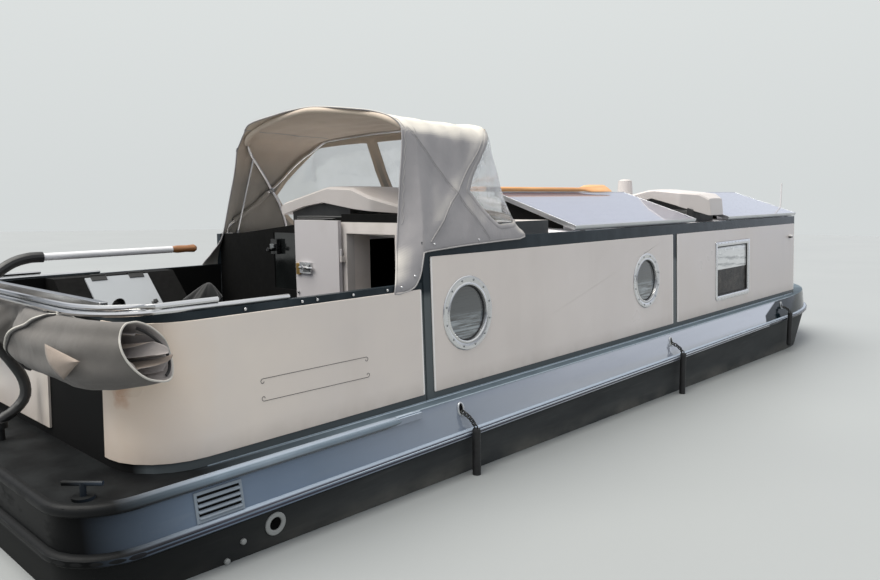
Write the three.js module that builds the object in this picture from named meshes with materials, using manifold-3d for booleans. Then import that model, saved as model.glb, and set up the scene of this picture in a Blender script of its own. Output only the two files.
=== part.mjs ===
// A flat bottomed steel houseboat of about 10 m, with a cabin, a cockpit at the stern, a canvas sprayhood,
// tiller steering and gear on the roof.
// Boat coordinates in millimetres: X from the aft edge of the deck to the bow, Y to port, Z up from the deck.
// The exported group moves them so that the bottom plate stands on Z = 0 and the length is centred on X = 0.
import * as THREE from 'three';
import { mergeVertices, mergeGeometries } from 'three/addons/utils/BufferGeometryUtils.js';
import Module from 'manifold-3d';

const wasm = await Module();
wasm.setup();

// Driving dimensions
const CABIN_HALF = 1130;            // half beam over the cabin sides at their foot
const SIDE_DECK = 97;
const DECK_HALF = CABIN_HALF + SIDE_DECK;
const HULL_DEPTH = 1000;            // deck to the underside of the bottom plate
const COUNTER_Z = -500;             // underside of the counter at the stern
const STEM_END = 9900;              // foremost point, the lower strake at the stem
const RUDDER_TAIL = -230;
const STRAKE_Z = -215;
const STRAKE_OUT = 30;
const STRAKE_HALF = DECK_HALF + 38; // the hull plate leans in from the lower strake up to the deck
const STERN_RADIUS = 260;
const SEAT = 0.3;                   // gap between touching pieces

const TRANSOM_X = 322;              // outer face of the bulwark at the stern
const BULKHEAD_X = 2030;            // aft face of the cabin's aft bulkhead
const CABIN_FRONT = 8450;
const BULWARK_TOP = 692;
const ROOF_EDGE_Z = 924;
const ROOF_CAMBER = 35;
const LEAN = 28 / 924;              // cabin and bulwark sides lean in going up
const WALL = 50;
const FLOOR_TOP = 30;               // cockpit floor boards lie on the deck

const WELL_FLOOR = -880;            // cabin sole inside the hull
const ENGINE_BAY = { x0: 1050, x1: 1950, half: 420, floor: -475 };

const CLAD = 8;                     // thickness of the cladding sheets
const CLAD_LOW = 44;
const CLAD_HIGH = 837;
const BULWARK_CLAD_HIGH = 656;
const SEAM_AFT = [2000, 2090];
const SEAM_MID = [5188, 5282];
const CLAD_END = 8415;

const PORTHOLES_X = [2405, 4700];
const PORTHOLE_Z = 474;
const PORTHOLE_OUT = 229;
const PORTHOLE_HOLE = 185;
const WINDOW = { x0: 6110, x1: 6990, z0: 143, z1: 722, low: 40, high: 12, frame: 50 };

// Materials
const paint = (color, roughness = 0.45, metalness = 0.1) =>
  new THREE.MeshStandardMaterial({ color, roughness, metalness });
const DARK_GREEN = paint(0x3c474b, 0.25);
const BLACK = paint(0x151617, 0.5);
const CREAM = paint(0xc9c2ba, 0.4);
const WHITE = paint(0xe8e8e6, 0.35);
const ROOF_WHITE = paint(0xdcdad5, 0.5);
const PALE_GREY = paint(0xb4b2b0, 0.45);
const STEEL = paint(0xcfd2d4, 0.2, 0.9);
const GLASS = paint(0x20262a, 0.08);
const CANVAS = paint(0x8b898a, 0.9, 0);
const WOOD = paint(0xc8884a, 0.5, 0);
const RUBBER = paint(0x17181a, 0.8, 0);
const PANEL = paint(0xd6d7de, 0.2);
const BRONZE = paint(0x9c7a42, 0.35, 0.8);

// Solids and joins
function soldered(geometry) {
  const bare = geometry.clone();
  for (const name of Object.keys(bare.attributes)) {
    if (name !== 'position') bare.deleteAttribute(name);
  }
  return mergeVertices(bare, 1e-3);
}

function solid(geometry) {
  const merged = soldered(geometry);
  return new wasm.Manifold(new wasm.Mesh({
    numProp: 3,
    vertProperties: new Float32Array(merged.attributes.position.array),
    triVerts: new Uint32Array(merged.index.array),
  }));
}

function geometryOf(body) {
  const mesh = body.getMesh();
  const geometry = new THREE.BufferGeometry();
  geometry.setAttribute('position', new THREE.BufferAttribute(new Float32Array(mesh.vertProperties), 3));
  geometry.setIndex(new THREE.BufferAttribute(new Uint32Array(mesh.triVerts), 1));
  return geometry;
}

const join = (first, ...others) => others.reduce((sum, piece) => sum.add(piece), first);
const cut = (first, ...others) => others.reduce((rest, piece) => rest.subtract(piece), first);

function box(x0, x1, y0, y1, z0, z1) {
  const geometry = new THREE.BoxGeometry(x1 - x0, y1 - y0, z1 - z0);
  geometry.translate((x0 + x1) / 2, (y0 + y1) / 2, (z0 + z1) / 2);
  return solid(geometry);
}

// A cylinder from one point to another
function rod(from, to, radius, sides = 12, endRadius = radius) {
  const a = new THREE.Vector3(...from);
  const b = new THREE.Vector3(...to);
  const geometry = new THREE.CylinderGeometry(endRadius, radius, a.distanceTo(b), sides);
  const along = b.clone().sub(a).normalize();
  const turn = new THREE.Quaternion().setFromUnitVectors(new THREE.Vector3(0, 1, 0), along);
  geometry.applyQuaternion(turn);
  const middle = a.add(b).multiplyScalar(0.5);
  geometry.translate(middle.x, middle.y, middle.z);
  return solid(geometry);
}

// A flat outline of [first, second] points pushed out along an axis: 'x' takes points as (y, z),
// 'y' as (x, z) and 'z' as (x, y)
function prism(points, axis, low, high) {
  const shape = points instanceof THREE.Shape ? points
    : new THREE.Shape(points.map(([a, b]) => new THREE.Vector2(a, b)));
  const depth = high - low;
  const geometry = new THREE.ExtrudeGeometry(shape, { depth, bevelEnabled: false, curveSegments: 6 });
  geometry.translate(0, 0, low);
  const turns = {
    x: new THREE.Matrix4().set(0, 0, 1, 0, 1, 0, 0, 0, 0, 1, 0, 0, 0, 0, 0, 1),
    y: new THREE.Matrix4().set(1, 0, 0, 0, 0, 0, -1, 0, 0, 1, 0, 0, 0, 0, 0, 1),
    z: new THREE.Matrix4(),
  };
  if (axis === 'y') geometry.translate(0, 0, -(low + high));
  geometry.applyMatrix4(turns[axis]);
  return solid(geometry);
}

function roundedRect(x0, x1, y0, y1, low, high) {
  const shape = new THREE.Shape();
  shape.moveTo(x0 + low, y0);
  shape.lineTo(x1 - low, y0);
  shape.absarc(x1 - low, y0 + low, low, -Math.PI / 2, 0, false);
  shape.lineTo(x1, y1 - high);
  shape.absarc(x1 - high, y1 - high, high, 0, Math.PI / 2, false);
  shape.lineTo(x0 + high, y1);
  shape.absarc(x0 + high, y1 - high, high, Math.PI / 2, Math.PI, false);
  shape.lineTo(x0, y0 + low);
  shape.absarc(x0 + low, y0 + low, low, Math.PI, 1.5 * Math.PI, false);
  return shape;
}

// A round bar along a smooth curve through the given points
function tube(points, radius, steps = 24, sides = 10) {
  const curve = new THREE.CatmullRomCurve3(points.map((p) => new THREE.Vector3(...p)), false, 'centripetal');
  const section = new THREE.Shape();
  for (let i = 0; i < sides; i += 1) {
    const angle = (2 * Math.PI * i) / sides;
    const corner = [radius * Math.cos(angle), radius * Math.sin(angle)];
    if (i === 0) section.moveTo(...corner);
    else section.lineTo(...corner);
  }
  return solid(new THREE.ExtrudeGeometry(section, { steps, extrudePath: curve, bevelEnabled: false }));
}

// A closed body through like outlines, one above the other or one after the other.
// Each ring is a list of the same number of [x, y, z] points, turning the same way.
function loft(rings) {
  const count = rings[0].length;
  const index = [];
  for (let r = 0; r + 1 < rings.length; r += 1) {
    for (let i = 0; i < count; i += 1) {
      const a = r * count + i;
      const b = r * count + ((i + 1) % count);
      index.push(a, b, b + count, a, b + count, a + count);
    }
  }
  const flat = (ring, drop) => ring.map((p) => new THREE.Vector2(...p.filter((_, k) => k !== drop)));
  const spread = (k) => Math.max(...rings[0].map((p) => p[k])) - Math.min(...rings[0].map((p) => p[k]));
  const drop = [0, 1, 2].sort((j, k) => spread(j) - spread(k))[0];
  const caps = [[rings[0], 0, -1], [rings.at(-1), (rings.length - 1) * count, 1]];
  for (const [ring, start, facing] of caps) {
    const outline = flat(ring, drop);
    const turn = facing * Math.sign(THREE.ShapeUtils.area(outline));
    for (const [a, b, c] of THREE.ShapeUtils.triangulateShape(outline, [])) {
      const same = Math.sign(THREE.ShapeUtils.area([outline[a], outline[b], outline[c]])) === turn;
      index.push(start + a, start + (same ? b : c), start + (same ? c : b));
    }
  }
  const geometry = new THREE.BufferGeometry();
  geometry.setAttribute('position', new THREE.BufferAttribute(new Float32Array(rings.flat(2)), 3));
  geometry.setIndex(index);
  const body = solid(geometry);
  if (body.volume() > 0) return body;
  geometry.setIndex(index.slice().reverse());
  return solid(geometry);
}

// One level of the hull: a closed outline seen from above, from the stern's port corner round to the bow.
// half is the half beam, stern the aft end, bowStart where the side begins to curve in, tip the stem.
const CORNER_STEPS = 6;
const BOW_STEPS = 12;
function hullLevel({ z, half, stern, radius, bowStart, tip, power }) {
  const side = [];
  for (let i = 0; i <= CORNER_STEPS; i += 1) {
    const angle = (Math.PI / 2) * (i / CORNER_STEPS);
    side.push([stern + radius * (1 - Math.cos(angle)), half - radius * (1 - Math.sin(angle))]);
  }
  for (let i = 0; i < BOW_STEPS; i += 1) {
    const t = Math.sin((Math.PI / 2) * (i / BOW_STEPS));
    side.push([bowStart + (tip - bowStart) * t, half * (1 - t ** power) ** (1 / power)]);
  }
  const starboard = side.map(([x, y]) => [x, -y, z]);
  const port = side.map(([x, y]) => [x, y, z]).reverse();
  return [...starboard, [tip, 0, z], ...port];
}

// Hull levels from the bottom plate up: the strake is the step at its own height
const HULL_LEVELS = [
  // z, half, stern, corner radius, bow start, tip, power of the bow's curve
  [-HULL_DEPTH, 1205, 0, 260, 7300, 8950, 1.9],
  [-640, 1240, -4, 262, 7900, 9350, 2.1],
  [STRAKE_Z - 26, STRAKE_HALF, -8, 265, 7900, STEM_END - 50, 2.2],
  [STRAKE_Z - 12, STRAKE_HALF + STRAKE_OUT, -38, 290, 7900, STEM_END, 2.2],
  [STRAKE_Z + 12, STRAKE_HALF + STRAKE_OUT, -38, 290, 7900, STEM_END, 2.2],
  [STRAKE_Z + 26, STRAKE_HALF - 3, -8, 265, 7900, STEM_END - 40, 2.2],
  [0, DECK_HALF, 0, STERN_RADIUS, 7880, STEM_END - 30, 2.25],
];

function hullForm() {
  return loft(HULL_LEVELS.map(([z, half, stern, radius, bowStart, tip, power]) =>
    hullLevel({ z, half, stern, radius, bowStart, tip, power })));
}

const STERN_POST_X = 780;
const SWIM_START = 2700;
const RUDDER_X = 130;
const SHAFT_Z = -760;
const SHAFT_RADIUS = 19;
const STOCK_RADIUS = 24;
const SKEG_TOP = -965;

// Below the counter the hull narrows to the stern post; what lies beside that swim is cut away
function belowCounter() {
  const swim = new THREE.Shape();
  swim.moveTo(STERN_POST_X, -30);
  swim.bezierCurveTo(1500, -60, 2100, -1000, SWIM_START, -1400);
  swim.lineTo(SWIM_START, 1400);
  swim.bezierCurveTo(2100, 1000, 1500, 60, STERN_POST_X, 30);
  const kept = prism(swim, 'z', -HULL_DEPTH - 50, COUNTER_Z + 1);
  return cut(box(-200, SWIM_START, -1500, 1500, -HULL_DEPTH - 40, COUNTER_Z), kept);
}

function cabinWell() {
  const outline = [
    [BULKHEAD_X + WALL, -1040], [6300, -1040], [8370, -640],
    [8370, 640], [6300, 1040], [BULKHEAD_X + WALL, 1040],
  ];
  return prism(outline, 'z', WELL_FLOOR, 100);
}

function upperStrake() {
  // A half round bar along the deck's edge, round the stern and forward to its tapered ends
  const END_X = 1860;
  const half = DECK_HALF + 4;
  const path = [];
  for (const [x, y] of [[END_X, -half], [STERN_RADIUS, -half]]) path.push([x, y]);
  for (let i = 1; i <= CORNER_STEPS; i += 1) {
    const angle = (Math.PI / 2) * (i / CORNER_STEPS);
    path.push([STERN_RADIUS - (STERN_RADIUS + 4) * Math.sin(angle),
      -(half - STERN_RADIUS) - STERN_RADIUS * Math.cos(angle)]);
  }
  const mirrored = path.slice().reverse().map(([x, y]) => [x, -y]);
  const outline = [...path, ...mirrored];
  const band = (out, z0, z1) => {
    const outer = outline.map(([x, y]) => offsetOutline(x, y, out));
    const inner = outline.map(([x, y]) => offsetOutline(x, y, -60)).reverse();
    return prism([...outer, ...inner], 'z', z0, z1);
  };
  return join(band(8, -46, 0), band(20, -40, -6));
}

// Moves a point of the stern's outline outwards
function offsetOutline(x, y, out) {
  const centreX = STERN_RADIUS;
  const centreY = Math.sign(y) * (DECK_HALF - STERN_RADIUS);
  if (x >= centreX) return [x, y + Math.sign(y) * out];
  const away = new THREE.Vector2(x - centreX, y - centreY).normalize().multiplyScalar(out);
  return [x + away.x, y + away.y];
}

function makeHull() {
  const stock = rod([RUDDER_X, 0, COUNTER_Z - 20], [RUDDER_X, 0, 20], STOCK_RADIUS + 0.5, 20);
  const bay = box(ENGINE_BAY.x0, ENGINE_BAY.x1, -ENGINE_BAY.half, ENGINE_BAY.half, ENGINE_BAY.floor, 50);
  const skeg = join(
    box(RUDDER_X - 60, STERN_POST_X + 200, -45, 45, -HULL_DEPTH, SKEG_TOP),
    rod([STERN_POST_X - 60, 0, SHAFT_Z], [STERN_POST_X + 300, 0, SHAFT_Z], 45, 16),
  );
  const pintle = rod([RUDDER_X, 0, SKEG_TOP - 20], [RUDDER_X, 0, SKEG_TOP + 20], 15.5, 16);
  const bore = rod([STERN_POST_X - 100, 0, SHAFT_Z], [STERN_POST_X + 140, 0, SHAFT_Z], SHAFT_RADIUS + 0.5, 16);
  const form = cut(hullForm(), belowCounter());
  const studs = STUDS.map(({ x, y, dx, dy }) => mooringStud(x, y, dx, dy));
  return cut(join(form, upperStrake(), skeg, ...studs), cabinWell(), bay, stock, pintle, bore);
}

// Bulwark: a U in plan with rounded stern corners
const BULWARK_RADIUS = 300;
const BULWARK_WALL = 45;
const FACE_INSET = 6;
function bulwarkOutline(inset, x1) {
  const half = CABIN_HALF - inset;
  const radius = BULWARK_RADIUS - inset;
  const stern = TRANSOM_X + inset;
  const side = [[x1, half]];
  for (let i = 0; i <= CORNER_STEPS; i += 1) {
    const angle = (Math.PI / 2) * (1 - i / CORNER_STEPS);
    side.push([stern + radius * (1 - Math.cos(angle)), half - radius * (1 - Math.sin(angle))]);
  }
  return side;
}

const bothSides = (half) => [...half, ...half.slice().reverse().map(([x, y]) => [x, -y])];

function makeBulwark() {
  const ring = (z) => {
    const outer = bothSides(bulwarkOutline(FACE_INSET + LEAN * z, BULKHEAD_X - SEAT));
    const inner = bothSides(bulwarkOutline(BULWARK_WALL + LEAN * z, BULKHEAD_X - SEAT)).reverse();
    return [...outer, ...inner].map(([x, y]) => [x, y, z]);
  };
  return loft([ring(SEAT), ring(BULWARK_TOP)]);
}

const RAIL_Z0 = BULWARK_TOP + SEAT;
function makeTransomRail() {
  const reach = 760;
  return box(TRANSOM_X + 28, TRANSOM_X + 64, -reach, reach, RAIL_Z0, RAIL_Z0 + 38);
}

// Cladding sheets: in plan a strip outside the bulwark, cut to its length along the boat's side
function makeBulwarkCladding(side) {
  const sign = side === 'port' ? 1 : -1;
  // the starboard sheet ends a little past the corner, the port one runs on across the transom
  const reach = side === 'port' ? -140 : CABIN_HALF - 342;
  const line = (inset) => [...bulwarkOutline(inset, SEAM_AFT[0]), [TRANSOM_X + inset, reach]];
  const ring = (z) => [
    ...line(LEAN * z - CLAD),
    ...line(LEAN * z + FACE_INSET - SEAT).reverse(),
  ].map(([x, y]) => [x, sign * y, z]);
  return loft([ring(CLAD_LOW), ring(BULWARK_CLAD_HIGH)]);
}

// Walls lean in by LEAN: a slab between two heights whose outer face is `proud` outside the wall's face
function leaningSlab(side, x0, x1, z0, z1, proud, thickness) {
  const sign = side === 'port' ? 1 : -1;
  const face = (z) => CABIN_HALF - LEAN * z + proud;
  const points = [
    [sign * face(z0), z0], [sign * face(z1), z1], [sign * (face(z1) - thickness), z1],
    [sign * (face(z0) - thickness), z0],
  ];
  return prism(points, 'x', x0, x1);
}

const sideSpan = (side) => (side === 'port'
  ? [CABIN_HALF - 150, CABIN_HALF + 60] : [-CABIN_HALF - 60, -CABIN_HALF + 150]);

function portholeHole(side, x, radius) {
  const [y0, y1] = sideSpan(side);
  return rod([x, y0, PORTHOLE_Z], [x, y1, PORTHOLE_Z], radius, 28);
}

function windowHole(side, grow) {
  const [y0, y1] = sideSpan(side);
  const { x0, x1, z0, z1, low, high } = WINDOW;
  return prism(roundedRect(x0 - grow, x1 + grow, z0 - grow, z1 + grow, low, high), 'y', y0, y1);
}

function makeCabinSide(side) {
  const wall = leaningSlab(side, BULKHEAD_X, CABIN_FRONT, SEAT, ROOF_EDGE_Z, -SEAT, WALL);
  const holes = PORTHOLES_X.map((x) => portholeHole(side, x, PORTHOLE_HOLE));
  return cut(wall, ...holes, windowHole(side, SLEEVE_GROW + SEAT));
}

function makeCladding(side, x0, x1) {
  const sheet = leaningSlab(side, x0, x1, CLAD_LOW, CLAD_HIGH, CLAD, CLAD);
  const inSheet = PORTHOLES_X.filter((x) => x > x0 && x < x1);
  const holes = inSheet.map((x) => portholeHole(side, x, PORTHOLE_OUT + SEAT));
  if (WINDOW.x0 > x0 && WINDOW.x1 < x1) holes.push(windowHole(side, SEAT));
  return holes.length ? cut(sheet, ...holes) : sheet;
}

// A porthole: flange on the wall's face, sleeve through the wall and a pane in it
function makePorthole(side, x) {
  const sign = side === 'port' ? 1 : -1;
  const face = CABIN_HALF - LEAN * PORTHOLE_Z;
  const at = (depth) => [x, sign * (face + depth), PORTHOLE_Z];
  const [low, high] = [PORTHOLE_Z - 250, PORTHOLE_Z + 250];
  const flange = leaningSlab(side, x - 250, x + 250, low, high, CLAD + 8, CLAD + 8 - SEAT);
  const disc = rod(at(-80), at(60), PORTHOLE_OUT, 28);
  const sleeve = rod(at(-58), at(8), PORTHOLE_HOLE - SEAT, 28);
  const clear = rod(at(-80), at(60), 168, 28);
  const pane = rod(at(-18), at(-10), 178, 28);
  return join(cut(join(flange.intersect(disc), sleeve), clear), pane);
}

const SLEEVE_GROW = 12 - WINDOW.frame;
function makeWindow(side) {
  const inner = -WINDOW.frame;
  const { x0, x1, z0, z1 } = WINDOW;
  const frame = leaningSlab(side, x0 - 5, x1 + 5, z0 - 5, z1 + 5, CLAD + 8, CLAD + 8 - SEAT);
  const sleeve = leaningSlab(side, x0 - 5, x1 + 5, z0 - 5, z1 + 5, 2, WALL);
  const pane = leaningSlab(side, x0, x1, z0, z1, 1, 8);
  const ring = join(frame.intersect(windowHole(side, 0)), sleeve.intersect(windowHole(side, SLEEVE_GROW)));
  return join(cut(ring, windowHole(side, inner)), pane.intersect(windowHole(side, inner + 5)));
}

const INNER_HALF = CABIN_HALF - WALL - 2 * SEAT;
const innerHalfAt = (z) => INNER_HALF - LEAN * z;

function crossWall(x0, x1, z0, z1) {
  return prism([
    [-innerHalfAt(z0), z0], [innerHalfAt(z0), z0], [innerHalfAt(z1), z1], [-innerHalfAt(z1), z1],
  ], 'x', x0, x1);
}

const ROOF_UNDER = ROOF_EDGE_Z - 40;
const ROOF_SKIN_Z = ROOF_EDGE_Z - 6;
const ROOF_FRONT = 8560;
const FRONT_WAY = { half: 330, z0: 60, z1: 820 };
const FRONT_AXIS = { x: CABIN_FRONT + 24, y: 372 };
const FRONT_HINGE_Z = [160, 640];
function makeCabinFront() {
  const wall = crossWall(CABIN_FRONT - WALL, CABIN_FRONT, SEAT, ROOF_UNDER - SEAT);
  const { half, z0, z1 } = FRONT_WAY;
  const hinges = FRONT_HINGE_Z.map((z) => hingePost(FRONT_AXIS, z, CABIN_FRONT - 5));
  return join(cut(wall, box(CABIN_FRONT - 90, CABIN_FRONT + 40, -half, half, z0, z1)), ...hinges);
}

function makeFrontDoor() {
  const { x, y } = FRONT_AXIS;
  const { half, z0, z1 } = FRONT_WAY;
  const leaf = box(x - DOOR_THICK / 2, x + DOOR_THICK / 2, -half - 20, y - 10, z0 - 20, z1 + 20);
  return join(leaf, ...FRONT_HINGE_Z.map((z) => hingeEye(FRONT_AXIS, z, -1)));
}

// A hinge in two halves: the post is fixed to a wall, the eye above it to the door.
// towards is +1 where the leaf lies to port of the axis.
const HINGE_RADIUS = 8;
const HINGE_HEIGHT = 40;
function hingePost({ x, y }, z, wallX) {
  return join(
    rod([x, y, z], [x, y, z + HINGE_HEIGHT], HINGE_RADIUS),
    box(Math.min(x, wallX), Math.max(x, wallX), y - 6, y + 6, z, z + HINGE_HEIGHT),
  );
}

function hingeEye({ x, y }, z, towards) {
  const z0 = z + HINGE_HEIGHT + 0.5;
  return join(
    rod([x, y, z0], [x, y, z0 + HINGE_HEIGHT], HINGE_RADIUS),
    box(x - 4, x + 4, Math.min(y, y + 20 * towards), Math.max(y, y + 20 * towards), z0, z0 + HINGE_HEIGHT),
  );
}

// The way into the cabin lies on the starboard side: door, sliding hatch and the garage it slides into
const DOORWAY = { y0: -892, y1: -455, z0: 60, z1: 960 };
const HATCH = { x1: 2720, y0: -992, y1: -392, top: 992 };
const FRAME_Y = [-970, -400];
const PANE = { y0: 90, y1: 350, z0: 560, z1: 950 };

// Roof: a cambered plate between the side walls
const ROOF_STEPS = 9;
function roofLine(half, z) {
  const line = [];
  for (let i = 0; i <= ROOF_STEPS; i += 1) {
    const y = -half + (2 * half * i) / ROOF_STEPS;
    line.push([y, z + ROOF_CAMBER * (1 - (y / half) ** 2)]);
  }
  return line;
}

// One long plate, and beside the hatch opening a wide plate to port and a narrow one to starboard
const ROOF_JOINT_X = HATCH.x1 - 60;
const ROOF_PLATES = {
  roof: { x0: ROOF_JOINT_X, x1: ROOF_FRONT, y0: -1200, y1: 1200 },
  roof_beside_hatch: { x0: BULKHEAD_X + WALL, x1: ROOF_JOINT_X, y0: HATCH.y1 - 38, y1: 1200 },
  roof_edge: { x0: BULKHEAD_X + WALL, x1: ROOF_JOINT_X, y0: -1200, y1: HATCH.y0 + 37 },
};
function makeRoofPlate({ x0, x1, y0, y1 }) {
  const half = innerHalfAt(ROOF_EDGE_Z) - 1;
  const outline = [...roofLine(half, ROOF_UNDER), ...roofLine(half, ROOF_SKIN_Z).reverse()];
  return prism(outline, 'x', x0 + SEAT, x1).intersect(box(x0, x1, y0, y1, 800, 1100));
}

// Everything below the roof's skin, to cut what stands on it so that it fits the camber
function belowRoof(gap) {
  const half = innerHalfAt(ROOF_EDGE_Z) - 1;
  const outline = [[-half, 0], [half, 0], ...roofLine(half, ROOF_SKIN_Z + gap).reverse()];
  return prism(outline, 'x', BULKHEAD_X - 200, ROOF_FRONT + 200);
}

function makeAftBulkhead() {
  const outline = [
    [-innerHalfAt(0), SEAT], [innerHalfAt(0), SEAT], [innerHalfAt(ROOF_EDGE_Z), ROOF_EDGE_Z],
    [720, ROOF_EDGE_Z + 16], [-395, 1060], [-395, 1080], [-990, 1080], [-990, ROOF_EDGE_Z],
    [-innerHalfAt(ROOF_EDGE_Z), ROOF_EDGE_Z],
  ];
  const wall = prism(outline, 'x', BULKHEAD_X, BULKHEAD_X + WALL);
  const way = box(BULKHEAD_X - 50, BULKHEAD_X + 100, FRAME_Y[0], FRAME_Y[1], 1, 1030);
  const pane = box(BULKHEAD_X - 50, BULKHEAD_X + 100, PANE.y0, PANE.y1, PANE.z0, PANE.z1);
  return cut(wall, way, pane);
}

function makeDoorFrame() {
  const body = box(BULKHEAD_X - 12, BULKHEAD_X + WALL, FRAME_Y[0] + SEAT, FRAME_Y[1] - SEAT,
    FLOOR_TOP + SEAT, 1030 - SEAT);
  const way = box(BULKHEAD_X - 50, BULKHEAD_X + 100, DOORWAY.y0, DOORWAY.y1, DOORWAY.z0, DOORWAY.z1);
  const hinges = DOOR_HINGE_Z.map((z) => hingePost(DOOR_AXIS, z, BULKHEAD_X - 5));
  return join(cut(body, way), ...hinges);
}

const DOOR_AXIS = { x: BULKHEAD_X - 40, y: DOORWAY.y1 + 22 };
const DOOR_HINGE_Z = [180, 780];
const DOOR_THICK = 26;
function makeAftDoor() {
  const width = DOORWAY.y1 - DOORWAY.y0 + 14;
  const { x, y } = DOOR_AXIS;
  const leaf = box(x - DOOR_THICK / 2, x + DOOR_THICK / 2, y + 10, y + 10 + width, 70, 1040);
  return join(leaf, ...DOOR_HINGE_Z.map((z) => hingeEye(DOOR_AXIS, z, 1)));
}

function makeBulkheadPane() {
  const { y0, y1, z0, z1 } = PANE;
  return box(BULKHEAD_X + 5, BULKHEAD_X + 13, y0 + SEAT, y1 - SEAT, z0 + SEAT, z1 - SEAT);
}

// The hatch is an upturned tray that slides forward on two bars into its garage, a larger tray fixed on the roof
function tray(x0, x1, y0, y1, z1, wall, openAft) {
  const hollow = box(openAft ? x0 - 50 : x0 + wall, x1 - wall, y0 + wall, y1 - wall, 800, z1 - wall);
  return cut(box(x0, x1, y0, y1, ROOF_UNDER, z1), hollow);
}

const HATCH_WALL = 8;
const HATCH_X = [BULKHEAD_X + WALL + 6, HATCH.x1 - 30];
const GARAGE = { x0: 2700, x1: 3420, y0: HATCH.y0 - 18, y1: HATCH.y1 + 18, z1: HATCH.top + 20 };
const BAR_TOP = 962;
const BARS_Y = [[HATCH.y0 + 14, HATCH.y0 + 24], [HATCH.y1 - 24, HATCH.y1 - 14]];
function makeHatch() {
  const [x0, x1] = HATCH_X;
  const body = cut(tray(x0, x1, HATCH.y0, HATCH.y1, HATCH.top, HATCH_WALL, false), belowRoof(6));
  const notches = BARS_Y.map(([y0, y1]) => box(x0 - 10, x1 + 10, y0 - 5, y1 + 5, 800, BAR_TOP + 0.5));
  const shoes = BARS_Y.map(([y0, y1]) => box(x0 + 4, x1 - 4, y0 - 2, y1 + 2, BAR_TOP + 0.5, HATCH.top - 2));
  return join(cut(body, ...notches), ...shoes);
}

function makeGarage() {
  const { x0, x1, y0, y1, z1 } = GARAGE;
  const bars = BARS_Y.map(([ya, yb]) => box(HATCH_X[0] + 4, x1 - 2, ya, yb, ROOF_UNDER, BAR_TOP));
  return cut(join(tray(x0, x1, y0, y1, z1, HATCH_WALL, true), ...bars), belowRoof(SEAT));
}

// Solar panels: low along the starboard edge, raised to port on legs. The values are of the underside.
const SOLAR_TILT = { y0: -1078, y1: -322, z0: 929, z1: 1189 };
const SOLAR_THICK = 36;
const SOLAR_AFT = [3660, 5720];
const SOLAR_FRONT = [6495, 8545];
function makeSolarPanel([x0, x1]) {
  const { y0, y1, z0, z1 } = SOLAR_TILT;
  const lift = (SOLAR_THICK * (z1 - z0)) / (y1 - y0);
  const section = [[y0, z0], [y1, z1], [y1 - lift, z1 + SOLAR_THICK], [y0 - lift, z0 + SOLAR_THICK]];
  const panel = prism(section, 'x', x0, x1);
  const legs = [x0 + 160, x1 - 200].map((x) => join(
    box(x, x + 40, y1 - 50, y1 - 20, ROOF_UNDER, z1 - 8),
    box(x, x + 40, y0 + 32, y0 + 60, ROOF_UNDER, z0 + 20),
  ));
  return cut(join(panel, ...legs), belowRoof(SEAT));
}

// Roof air conditioners stand athwart: a pale shell like a low ridge, its tapered nose to starboard, on a base.
// The profiles are (y, z) points from the port end over the ridge to the nose and back below.
const AIR_CONDITIONERS = {
  aft: {
    x0: 2120, x1: 2750, base: [-330, 290], taper: -560,
    top: [[370, 1157], [-140, 1262], [-385, 1250], [-720, 1140], [-830, 1092]],
    under: [[-800, 1075], [-403, 1110], [-90, 1154], [120, 1128], [370, 1070]],
  },
  front: {
    x0: 5850, x1: 6420, base: [-970, -190], taper: -860,
    top: [[-90, 1075], [-130, 1115], [-520, 1240], [-600, 1245], [-993, 1135], [-1108, 1012]],
    under: [[-1090, 988], [-820, 1085], [-560, 1156], [-300, 1085], [-90, 1010]],
  },
};
function makeAirConditioner({ x0, x1, base, taper, top, under }) {
  const noseY = under[0][0] - 40;
  const plan = [[x0, top[0][0] + 10], [x0, taper], [x0 + 150, noseY], [x1 - 130, noseY], [x1, taper],
    [x1, top[0][0] + 10]];
  const shell = prism([...top, ...under], 'x', x0, x1).intersect(prism(plan, 'z', 900, 1400));
  const below = top.map(([y, z]) => [y, z - 30]);
  const feet = [[below.at(-1)[0], ROOF_UNDER], [below[0][0], ROOF_UNDER]];
  const column = prism([...below, ...feet], 'x', x0 + 45, x1 - 45);
  const foot = box(x0 + 40, x1 - 40, base[0], base[1], ROOF_UNDER, 1300).intersect(column);
  return cut(join(shell, foot), belowRoof(SEAT));
}

function makeAntenna() {
  const [x, y] = [7200, 470];
  return join(
    cut(rod([x, y, ROOF_UNDER], [x, y, 1190], 14, 12), belowRoof(SEAT)),
    rod([x, y, 1180], [x, y, 1370], 95, 20, 82),
    rod([x, y, 1365], [x, y, 1385], 82, 20, 50),
  );
}

const OAR = { x0: 3100, neck: 4870, x1: 5400, y: -340, z: 1242.75, radius: 19 };
function makeOar() {
  const { x0, neck, x1, y, z, radius } = OAR;
  const bladeRing = (x, wide, low, high) => [[x, y - wide, z + low + 8], [x, y + wide, z + low + 8],
    [x, y + wide, z + high], [x, y - wide, z + high]];
  const blade = loft([
    bladeRing(neck, 18, -17, 17),
    bladeRing(neck + 150, 60, -4, 28),
    bladeRing(x1, 60, -4, 28),
  ]);
  return join(rod([x0, y, z], [neck + 50, y, z], radius, 12), blade);
}

function makeStaff() {
  const [x, y] = [ROOF_FRONT + 20, -894];
  return join(
    rod([x, y, 820], [x + 8, y, 1320], 9, 10),
    box(CABIN_FRONT + SEAT, x + 12, y - 15, y + 15, 800, 840),
  );
}

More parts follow.
